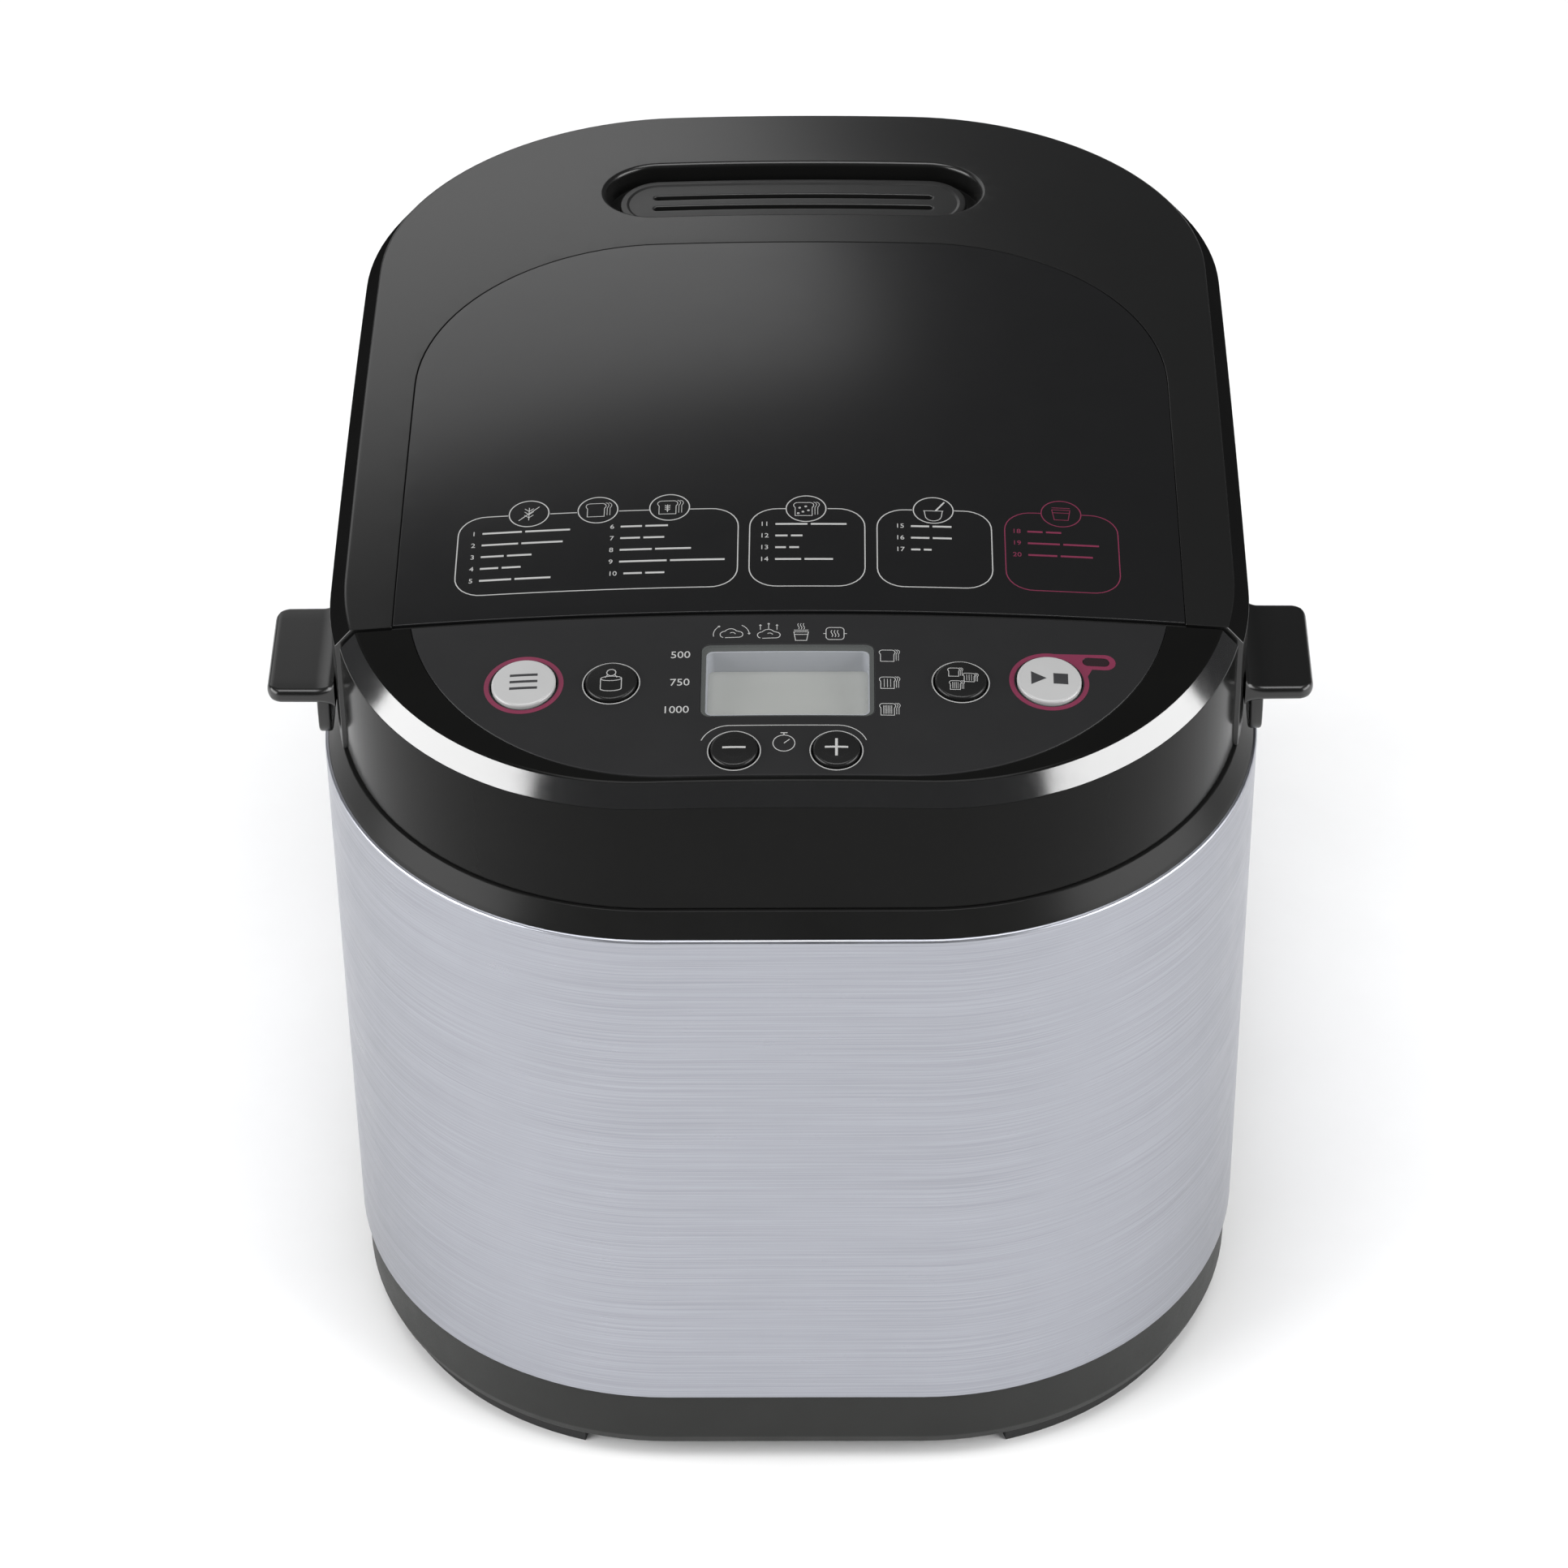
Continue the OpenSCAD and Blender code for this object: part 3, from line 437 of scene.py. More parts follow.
def surface(name, colour, rough=0.35, metal=0.0, vary=0.12, grain=0.02, grain_size=2.5, stretch=(1, 1, 1),
            patch=0.02, rough_vary=0.06, level=0.5, ior=1.5, coat=0.0, aniso=0.0):
    """A procedural finish: patchy tone, uneven gloss and a fine surface grain."""
    m = bpy.data.materials.new(name)
    m.use_nodes = True
    t = m.node_tree
    p = t.nodes["Principled BSDF"]
    coords = node(t, "ShaderNodeTexCoord").outputs["Object"]
    tone = noise(t, coords, patch, 5.0)
    t.links.new(ramp(t, tone, [(0.3, shade(colour, 1 - vary)), (0.7, shade(colour, 1 + vary))]),
                p.inputs["Base Color"])
    fine = noise(t, coords, grain_size, 3.0, stretch)
    worn = noise(t, coords, patch * 4, 6.0)
    mixed = node(t, "ShaderNodeMath", operation="ADD")
    t.links.new(fine, mixed.inputs[0])
    t.links.new(worn, mixed.inputs[1])
    gloss = node(t, "ShaderNodeMapRange", **{"From Min": 0.7, "From Max": 1.3, "To Max": rough + rough_vary,
                                             "To Min": max(0.02, rough - rough_vary)})
    t.links.new(mixed.outputs[0], gloss.inputs["Value"])
    t.links.new(gloss.outputs[0], p.inputs["Roughness"])
    if grain:
        bump = node(t, "ShaderNodeBump", Strength=1.0, Distance=grain * MM)
        t.links.new(fine, bump.inputs["Height"])
        t.links.new(bump.outputs["Normal"], p.inputs["Normal"])
    even = {"Metallic": metal, "Specular IOR Level": level, "IOR": ior, "Coat Weight": coat,
            "Coat Roughness": 0.05}
    for socket, amount in even.items():
        p.inputs[socket].default_value = amount
    if aniso:
        p.inputs["Anisotropic"].default_value = aniso
        around = node(t, "ShaderNodeTangent", direction_type="RADIAL", axis="Z")
        t.links.new(around.outputs["Tangent"], p.inputs["Tangent"])
    return m


def brushed_steel():
    """Horizontally brushed stainless sheet with a cool lacquer tint."""
    tint = (0.345, 0.353, 0.388)
    m = surface("brushed_steel", tint, rough=0.33, metal=1.0, grain=0.003, grain_size=1.0,
                stretch=(0.02, 0.02, 2.4), rough_vary=0.06, aniso=0.7)
    t = m.node_tree
    coords = node(t, "ShaderNodeTexCoord").outputs["Object"]
    fine = noise(t, coords, 1.0, 5.0, (0.012, 0.012, 2.2))
    streaks = ramp(t, fine, [(0.32, shade(tint, 0.88)), (0.5, tint), (0.68, shade(tint, 1.12))])
    t.links.new(streaks, t.nodes["Principled BSDF"].inputs["Base Color"])
    return m


gloss_black = surface("gloss_black", (0.005, 0.005, 0.0048), rough=0.17, vary=0.1, grain=0.001,
                      grain_size=0.6, rough_vary=0.015, level=0.07)
chamfer_black = surface("polished_chamfer", (0.006, 0.006, 0.006), rough=0.14, vary=0.1, grain=0.001,
                        grain_size=0.4, rough_vary=0.02, ior=2.1)
lid_black = surface("lid_black", (0.006, 0.006, 0.0058), rough=0.26, vary=0.06, grain=0.0006,
                    grain_size=1.5, rough_vary=0.004)
edge_black = surface("lid_edge_black", (0.005, 0.005, 0.005), rough=0.14, vary=0.1, grain=0.001,
                     grain_size=0.4, rough_vary=0.02, level=0.0)
grille_black = surface("grille_black", (0.01, 0.01, 0.0098), rough=0.33, vary=0.1, grain=0.012,
                       grain_size=3.5, rough_vary=0.03, level=0.6)
satin_black = surface("satin_black", (0.009, 0.009, 0.0088), rough=0.3, vary=0.1, grain=0.004,
                      grain_size=3.0, rough_vary=0.02, level=0.12)
panel_black = surface("panel_black", (0.006, 0.006, 0.0062), rough=0.2, vary=0.06, grain=0.001,
                      grain_size=2.0, rough_vary=0.01)
overlay_black = surface("overlay_black", (0.014, 0.014, 0.0145), rough=0.36, vary=0.05, grain=0.003,
                        grain_size=3.0, rough_vary=0.015, level=0.2)
base_plastic = surface("base_plastic", (0.009, 0.0094, 0.0082), rough=0.5, vary=0.1, grain=0.015,
                       grain_size=2.2, level=0.3)
steel = brushed_steel()
print_grey = surface("print_grey", (0.36, 0.36, 0.355), rough=0.5, vary=0.04, grain=0.002)
print_crimson = surface("print_crimson", (0.14, 0.012, 0.042), rough=0.45, vary=0.06, grain=0.002)
sleeve_grey = surface("sleeve_grey", (0.33, 0.34, 0.38), rough=0.5, vary=0.05, grain=0.002)
cap_grey = surface("cap_grey", (0.36, 0.36, 0.36), rough=0.35, vary=0.03, grain=0.003, grain_size=3.0,
                   coat=0.3)
cap_black = surface("cap_black", (0.008, 0.008, 0.008), rough=0.28, vary=0.1, grain=0.001,
                    rough_vary=0.02, level=0.3)
symbol_black = surface("symbol_black", (0.02, 0.02, 0.022), rough=0.45, vary=0.1, grain=0.002)


# ---------------------------------------------------------------- camera
def aim_camera():
    """The camera stands in front of the machine and looks down on it."""
    pitch, yaw, roll = 0.6984, -0.0164, -0.0137
    data = bpy.data.cameras.new("camera")
    data.sensor_width = 36.0
    data.lens = 121.24
    data.clip_start, data.clip_end = 0.05, 50.0
    cam = bpy.data.objects.new("camera", data)
    cam.matrix_world = (Matrix.Translation((0.01788, -1.30796, 1.22447)) @ Matrix.Rotation(-yaw, 4, "Z")
                        @ Matrix.Rotation(math.pi / 2 - pitch, 4, "X") @ Matrix.Rotation(roll, 4, "Z"))
    bpy.context.scene.collection.objects.link(cam)
    bpy.context.scene.camera = cam


aim_camera()


# ---------------------------------------------------------------- steel wrap
def steel_wrap():
    """Bent sheet with rolled edges, open at the back, where the service panel closes it."""
    z0, z1 = wrap_lo.z, wrap_hi.z
    sheet_t, roll, lip = 0.8, 2.2, 2.4
    section = rounded([(1.0, z0), (0, z0), (0, z1), (roll, z1), (roll, z1 - lip), (sheet_t, z1 - lip),
                       (sheet_t, z0 + 0.3)], [0.5, 1.1, 0.9, 0.3, 0.2])
    skin = Skin()
    ids = skin.rings([at_height(body_ring(d), z) for d, z in section])
    skin.strip(ids[-1], ids[0])
    wrap = skin.make("steel_wrap", steel, BASE, slot="wrap_steel", replaces=["body_wrap"])
    opening = Skin()
    reach = [(B - 4, z0 - 2), (B + 2, z0 - 2), (B + 2, z1 + 2), (B - 4, z1 + 2)]
    prism(opening, reach, -REAR_HALF, REAR_HALF, "x")
    carve(wrap, opening)
    panel = Skin()
    prism(panel, [(B - d, z) for d, z in section], SEAM - REAR_HALF, REAR_HALF - SEAM, "x")
    rear = panel.make("rear_sheet", steel, BASE, slot="wrap_steel", replaces=["rear_panel"])
    # nine air slots and the hole round the cord's gland
    holes = Skin()
    pitch, slot_z = 7.5, 117.5
    for k in range(-4, 5):
        prism(holes, round_rect(1.5, 17.5, 1.45, 6, pitch * k, slot_z), B - 6, B + 6, "y")
    gland_x, gland_z, gland_r = 22, 55, 8
    prism(holes, ring_points(gland_x, gland_z, gland_r, 40), B - 6, B + 6, "y")
    carve(rear, holes)


steel_wrap()


# ---------------------------------------------------------------- shells of the top
def shell_rows(path, inset, cut, low_z):
    """Rows up the outside of a top shell: bottom edge, band, chamfer and the start of the dome."""
    low = rounded([(inset + 1.2, low_z), (inset, low_z), (inset, low_z + 4)], [0.5], 3)
    rows = [at_height(path(d, cut), z) for d, z in low]
    middle_z = 246.0
    rows += [at_height(path(inset, cut), z) for z in (NOTCH_Z, middle_z)]
    crest = path(inset + CHAMFER_W, cut)
    corners = [(inset, 14), (inset, CHAMFER_H), (inset + CHAMFER_W, 0), (inset + CAP_IN, 0)]
    form = rounded(corners, [0.7, 1.3], 5)
    chamfer_from = None
    for d, drop in form[1:]:
        own = path(d, cut)
        under = own if d >= inset + CHAMFER_W else crest
        rows.append([(p[0], p[1], dome(q[0], q[1], drop)) for p, q in zip(own, under)])
        if chamfer_from is None and drop <= CHAMFER_H + 0.01:
            chamfer_from = len(rows) - 1
    return rows, chamfer_from


def inner_rows(path, inset, cut, low_z):
    """Rows up the inside of a top shell, from its wall to the underside of the dome."""
    shoulder_z = 254.0
    rows = [at_height(path(inset + WALL, cut), z) for z in (low_z, NOTCH_Z, shoulder_z)]
    rows.append(on_top(path(inset + CHAMFER_W + 2.2, cut), ROOF + 4))
    rows.append(on_top(path(inset + CHAMFER_W + 3.5, cut), ROOF))
    return rows


def outer_skin(skin, rows, first_chamfer, skip_rows=0, skip=()):
    """The shell's outside; its chamfer has the second finish. skip leaves columns of low rows open."""
    ids = [skin.add(r) for r in rows]
    for k, (a, b) in enumerate(zip(ids, ids[1:])):
        on_chamfer = first_chamfer <= k < first_chamfer + CHAMFER_ROWS
        skin.strip(a, b, False, 1 if on_chamfer else 0, skip if k < skip_rows else ())
    return ids


def seat_rows(path, cut):
    """Rows of an eased edge and the wall of the seat below it."""
    return [on_top(path(e, cut), drop) for e, drop in ((0.3, 0), (0.1, 0.08), (0, 0.3), (0, SEAT))]


def bridge(skin, start, end, n, lay):
    """n - 1 new points between two old ones. lay gives plan points their height."""
    return skin.add(lay(between(skin.points[start], skin.points[end], n)))


def end_face(skin, loop, y):
    """Closes the end of a shell: a small bevel, then a flat face at y."""
    plan = shrink([front_point(skin.points[i]) for i in loop], EDGE)
    edge = skin.add([(u, y, v) for u, v in plan])
    skin.strip(loop, edge)
    skin.fill([edge], front_point)


def close_end(skin, out, wall, seat, low_z, end_y):
    """Closes a shell's cut end, outside, inside and below, with the seat's profile in its upper edge.

    Gives the loops of the border on the dome, of the seat's floor and of the underside.
    """
    near = bridge(skin, out[-1][-1], seat[0][0], 3, on_top)
    far = bridge(skin, seat[0][-1], out[-1][0], 3, on_top)
    floor = bridge(skin, seat[-1][-1], seat[-1][0], 24, lambda p: on_top(p, SEAT))
    under = bridge(skin, wall[-1][-1], wall[-1][0], 24, lambda p: on_top(p, ROOF))
    low = bridge(skin, out[0][0], out[0][-1], 12, lambda p: at_height(p, low_z))
    low_inside = bridge(skin, wall[0][0], wall[0][-1], 12, lambda p: at_height(p, low_z))
    end_face(skin, [r[-1] for r in out] + near + [r[0] for r in seat] + floor[::-1]
             + [r[-1] for r in reversed(seat)] + far + [r[0] for r in reversed(out)] + low, end_y)
    skin.fill([[r[-1] for r in wall] + under + [r[0] for r in reversed(wall)] + low_inside], front_point)
    skin.strip([wall[0][0]] + low_inside + [wall[0][-1]], [out[0][0]] + low + [out[0][-1]], False)
    return out[-1] + near + seat[0] + far, seat[-1] + floor, wall[-1] + under


def hinge_notch(row):
    """The columns of a row that lie in the lid's notches, where the hinge brackets pass."""
    notch = set()
    for i, (p, q) in enumerate(zip(row, row[1:])):
        at_back = min(p[1], q[1]) > B - 20
        in_reach = abs(p[0] + q[0]) / 2 > NOTCH_X - 0.1 and max(abs(p[0]), abs(q[0])) < CX + 0.1
        if at_back and in_reach:
            notch.add(i)
    return notch


def vent_well(skin):
    """The pill-shaped well for the steam grille. Gives its rim, its floor's outline and its plan."""
    lo, hi = span("vent_insert")
    half_x, half_y = hi.x + 4.5, (hi.y - lo.y) / 2 + 4.3

    def plan(e):
        return pill(half_x, half_y, centre("vent_insert")[1], e)

    edge = rounded([(2.2, 0), (0, 0), (0, 9)], [1.5], 4)
    rows = [on_top(plan(e), drop) for e, drop in edge[1:-1]]
    for e, rise in ((0, 1.0), (-0.3, 0.3), (-1.0, 0), (-6.0, 0)):
        rows.append(at_height(plan(e), lo.z + rise))
    ids = skin.rings(rows)
    return ids[0], ids[-1], plan


def lid_shell():
    """The lid's moulding: skirt, chamfer and domed border round the inlay, with the vent's well."""
    skin = Skin()
    rows, chamfer = shell_rows(back_path, LID_IN, LID_CUT + EDGE, SKIRT_Z)
    notch = hinge_notch(rows[0])
    notch_row = next(k for k, r in enumerate(rows) if abs(r[0][2] - NOTCH_Z) < 1e-6)
    out = outer_skin(skin, rows, chamfer, notch_row, notch)
    wall = [skin.add(r) for r in inner_rows(back_path, LID_IN, LID_CUT + WALL, SKIRT_Z)]
    skin.strip(wall[0], wall[1], False, 0, notch)
    for a, b in zip(wall[1:], wall[2:]):
        skin.strip(a, b, False)
    skin.strip(wall[0], out[0], False, 0, notch)
    columns = range(len(rows[0]))
    skin.strip(wall[1], out[notch_row], False, 0, [i for i in columns if i not in notch])
    for i in columns:
        if (i in notch) != (i - 1 in notch):
            skin.fill([[r[i] for r in out[:notch_row + 1]] + [wall[1][i], wall[0][i]]], side_point)
    seat = skin.rings(seat_rows(panel_path, LID_CUT + EDGE), False)
    rim, well_floor, well_plan = vent_well(skin)
    border, seat_floor, underside = close_end(skin, out, wall, seat, SKIRT_Z, LID_CUT)
    skin.fill([border, rim], top_point, on_dome(0), RIM_STEP)
    skin.fill([seat_floor], top_point, on_dome(SEAT), SEAT_STEP)
    below = span("vent_insert")[0].z - 1.5
    under = skin.rings([on_top(well_plan(2), ROOF), at_height(well_plan(2), below),
                        at_height(well_plan(-6), below)])
    skin.strip(under[-1], well_floor)
    skin.fill([underside, under[0]], top_point, on_dome(ROOF), ROOF_STEP)
    half = 8
    for x in (-26, 26):
        knuckle(skin, x - half, x + half)
    skin.make("lid_moulding", [lid_black, edge_black], LID, slot="satin_black", replaces=["lid_shell"])


def knuckle(skin, x0, x1):
    """A hinge barrel and the arm that carries it, as one closed section."""
    r, top, reach = 4.2, HINGE_Z + 11, HINGE_Y - 13
    section = [(HINGE_Y + r * math.cos(math.radians(t)), HINGE_Z + r * math.sin(math.radians(t)))
               for t in range(-180, 61, 15)]
    section += [(HINGE_Y + 3.4, HINGE_Z + 7.2), (HINGE_Y + 3.4, top), (reach, top), (reach, HINGE_Z)]
    rows = []
    for x, by in ((x0, 0.4), (x0 + 0.4, 0), (x1 - 0.4, 0), (x1, 0.4)):
        plan = shrink(section, by) if by else section
        rows.append([(x, p[0], p[1]) for p in plan])
    ids = skin.rings(rows)
    skin.face(tuple(ids[0]))
    skin.face(tuple(ids[-1]))


def control_housing():
    """The fixed housing in front of the lid, with the overlay's seat on its dome."""
    skin = Skin()
    rows, chamfer = shell_rows(front_path, HOUSE_IN, HOUSE_CUT - EDGE, DECK_Z)
    out = outer_skin(skin, rows, chamfer)
    wall = skin.rings(inner_rows(front_path, HOUSE_IN, HOUSE_CUT - WALL, DECK_Z), False)
    skin.strip(wall[0], out[0], False)
    seat = skin.rings(seat_rows(overlay_path, HOUSE_CUT - EDGE), False)
    border, seat_floor, underside = close_end(skin, out, wall, seat, DECK_Z, HOUSE_CUT)
    # the deck under the overlay is open for the buttons and the window
    holes = [ring_points(*centre(name), r + 0.35, 40) for name, r in CAP_R.items()]
    lo, hi = span("display_window")
    holes.append(round_rect(hi.x - 1.2, (hi.y - lo.y) / 2 - 1.2, 2.0, 6, 0, (lo.y + hi.y) / 2, side=4))
    upper = [skin.add(on_top(h, SEAT)) for h in holes]
    lower = [skin.add(on_top(h, ROOF)) for h in holes]
    for a, b in zip(upper, lower):
        skin.strip(a, b)
    skin.fill([border], top_point, on_dome(0), RIM_STEP)
    skin.fill([seat_floor] + upper, top_point, on_dome(SEAT), SEAT_STEP)
    skin.fill([underside] + lower, top_point, on_dome(ROOF), ROOF_STEP)
    skin.make("housing_moulding", [gloss_black, chamfer_black], BASE, slot="gloss_black",
              replaces=["control_housing"])


lid_shell()
control_housing()


# ---------------------------------------------------------------- inlay and overlay
def sheet(name, edge, holes, material, body, replaced):
    """A thin domed sheet with eased edges. edge(e) and each hole(e) give an outline grown by e."""
    skin = Skin()
    thick, ease = 0.97, 0.25
    levels = ((ease, thick), (ease, 0.22), (0.08, 0.05), (0, 0))
    tops, unders = [], []
    for outline, sign in [(edge, 1)] + [(h, -1) for h in holes]:
        rows = [on_top(outline(sign * (e - ease)), drop) for e, drop in levels]
        ids = skin.rings(rows)
        unders.append(ids[0])
        tops.append(ids[-1])
    skin.fill(tops, top_point, on_dome(0), 8.0)
    skin.fill(unders, top_point, on_dome(thick), 20.0)
    skin.make(name, material, body, slot="panel_black", replaces=[replaced])


def inlay_edge(e):
    path = panel_path(e - FIT, LID_CUT + 0.4 - e)
    return path + between(path[-1], path[0], 24)


def overlay_edge(e):
    path = overlay_path(e - FIT, HOUSE_CUT + e)
    return path + between(path[-1], path[0], 24)


def overlay_holes():
    """Outlines for the six buttons, the display's window and the status light."""
    holes = []
    for name, r in CAP_R.items():
        x, y = centre(name)
        holes.append(lambda e, x=x, y=y, r=r: ring_points(x, y, r + 0.35 + e))
    lo, hi = span("display_window")
    half, mid = (hi.y - lo.y) / 2 + 0.1, (lo.y + hi.y) / 2
    holes.append(lambda e: round_rect(hi.x + 0.1 + e, half + e, 2.7 + e, 8, 0, mid, side=6))
    light_lo, light_hi = span("status_light")
    a, b = (light_hi.x - light_lo.x) / 2, (light_hi.y - light_lo.y) / 2
    holes.append(lambda e: round_rect(a + 0.1 + e, b + 0.1 + e, b + e, 8, *centre("status_light")))
    return holes


sheet("lid_inlay", inlay_edge, [], panel_black, LID, "lid_panel")
sheet("control_inlay", overlay_edge, overlay_holes(), overlay_black, BASE, "control_overlay")


# ---------------------------------------------------------------- grips
def grip(side):
    """A flat tab with rounded corners that flares into the skirt, and its hanging tongue."""
    tip = shell_hi.x
    y0, y1 = LID_CUT + 4, LID_CUT + 45
    z1, z0 = 244.5, 239.8
    root, flare_to = A - LID_IN - 1.0, A - LID_IN + 5.0
    sections = []
    for k in range(9):
        share = 1 - k / 8
        sections.append((root + (flare_to - root) * k / 8, 0.0, 1 - math.sqrt(1 - share ** 2), 0.0))
    for k in range(1, 9):
        turn = math.radians(90 * k / 8)
        x = tip - 5 + 5 * math.sin(turn)
        drop = max(0.0, (x - (tip - 1.6)) / 1.6)
        sections.append((x, 5 * (1 - math.cos(turn)), 0.0, 1 - math.sqrt(max(0.0, 1 - drop ** 2))))
    skin = Skin()
    rows = []
    for x, pull, flare, thin in sections:
        top, low = z1 + 3.5 * flare, z0 - 2.0 * flare
        half = (top - low) / 2 * (1 - 0.93 * thin)
        mid = (top + low) / 2
        front, back = y0 + pull, y1 - pull + 6.0 * flare
        r = min(1.7, half * 0.9)
        ring = round_rect((back - front) / 2, half, r, 5, (back + front) / 2, mid, side=8)
        rows.append([(side * x, u, v) for u, v in ring])
    ids = skin.rings(rows)
    skin.fill([ids[0]], side_point)
    skin.fill([ids[-1]], side_point)
    tongue = ([(y0 + 1.5, z0 + 0.6), (y0 + 1.0, 236.0)] + arc(y0 + 6.2, 231.0, 5.0, 180, 270, 6)
              + arc(y0 + 10.5, 231.0, 5.0, 270, 360, 6) + [(y0 + 17.0, 236.5), (y0 + 18.0, z0 + 0.6)])
    side_slab(skin, tongue, side * (root + 1.6), side * (root + 5.6), 0.8)
    name = "grip_left" if side < 0 else "grip_right"
    skin.make(name, lid_black, LID, slot="gloss_black")


grip(-1)
grip(1)


# ---------------------------------------------------------------- vent and display
def vent_insert():
    """The pill-shaped steam grille in its well, bowed like the lid, with two slots."""
    lo, hi = span("vent_insert")
    top, under = hi.z + 2.4, lo.z + 0.9
    face = top - 0.25
    y, a, b = centre("vent_insert")[1], hi.x, (hi.y - lo.y) / 2

    def bow(u, v, z):
        return (u, v, z - u * u / (2 * DOME_R))

    def row(outline, z):
        return [bow(u, v, z) for u, v in outline]

    skin = Skin()
    outside = rounded([(0.0, under), (0, top), (-2.2, top), (-3.0, face), (-5, face)], [0.6, 0.5, 0.5], 3)
    ids = skin.rings([row(pill(a, b, y, e), z) for e, z in outside])
    tops, unders = [ids[-1]], [ids[0]]
    for dy in (-3, 3):
        edge = rounded([(0.9, face), (0, face), (0, under)], [0.35], 3)
        slot = skin.rings([row(pill(45, 1.1, y + dy, e, 8), z) for e, z in edge])
        tops.append(slot[0])
        unders.append(slot[-1])
    skin.fill(tops, top_point, lambda u, v: bow(u, v, face), 6.0)
    skin.fill(unders, top_point, lambda u, v: bow(u, v, under), 12.0)
    skin.make("steam_grille", grille_black, LID, slot="satin_black", replaces=["vent_insert"])


def display_surround():
    """The light sleeve between the window and the display's face."""
    face, under_window = 267.25, 1.3
    mid = centre("display_window")[1]
    inner, outer = (round_rect(a, b, 1.9, 8, 0, mid, side=5) for a, b in ((23.1, 12.6), (23.5, 13.0)))
    skin = Skin()
    ids = skin.rings([at_height(outer, face), on_top(outer, under_window), on_top(inner, under_window),
                      at_height(inner, face)])
    skin.strip(ids[-1], ids[0])
    skin.make("display_sleeve", sleeve_grey, BASE, slot="display")


vent_insert()
display_surround()


# ---------------------------------------------------------------- buttons
def cap_rise(name, x, y):
    """How far a button's crowned face stands above the dome."""
    cx, cy = centre(name)
    return PROUD + 0.25 * (1 - ((x - cx) ** 2 + (y - cy) ** 2) / CAP_R[name] ** 2)


def button(name, finish, slot):
    """A round cap with a crowned face, and the stem under it that meets the switch."""
    sides = 48
    lo = span(name)[0]
    cx, cy = centre(name)
    r = CAP_R[name]
    skin = Skin()
    under = dome(cx, cy) - 5.0
    stem = [(1.6, lo.z), (1.8, lo.z + 0.3), (1.8, under - 1), (r - 1.0, under - 0.3)]
    low = lathe(skin, stem, (cx, cy), sides)
    skin.face(tuple(low[0]))
    rows = []
    for radius, rise in rounded([(r, -3.5), (r, PROUD), (r - 2.5, PROUD + 0.1)], [0.7], 5):
        rows.append([(u, v, dome(u, v, -rise)) for u, v in ring_points(cx, cy, radius)])
    for share in (0.6, 0.45, 0.3, 0.15):
        ring = ring_points(cx, cy, r * share)
        rows.append([(u, v, dome(u, v, -cap_rise(name, u, v))) for u, v in ring])
    ids = skin.rings(rows)
    hub = skin.add([(cx, cy, dome(cx, cy, -cap_rise(name, cx, cy)))])[0]
    for i in range(sides):
        skin.face((ids[-1][i], ids[-1][(i + 1) % sides], hub))
    skin.strip(low[-1], ids[0])
    skin.make(name + "_cap", finish, name + "_body", slot=slot, replaces=[name])


for name in CAP_R:
    big = name in ("menu_button", "start_button")
    button(name, cap_grey if big else cap_black, "cap_grey" if big else "cap_black")


# ---------------------------------------------------------------- printed graphics
INK_T = 0.08
RAISE = 0.035
ICON_R = 5.9
ROW_PITCH = 5.25


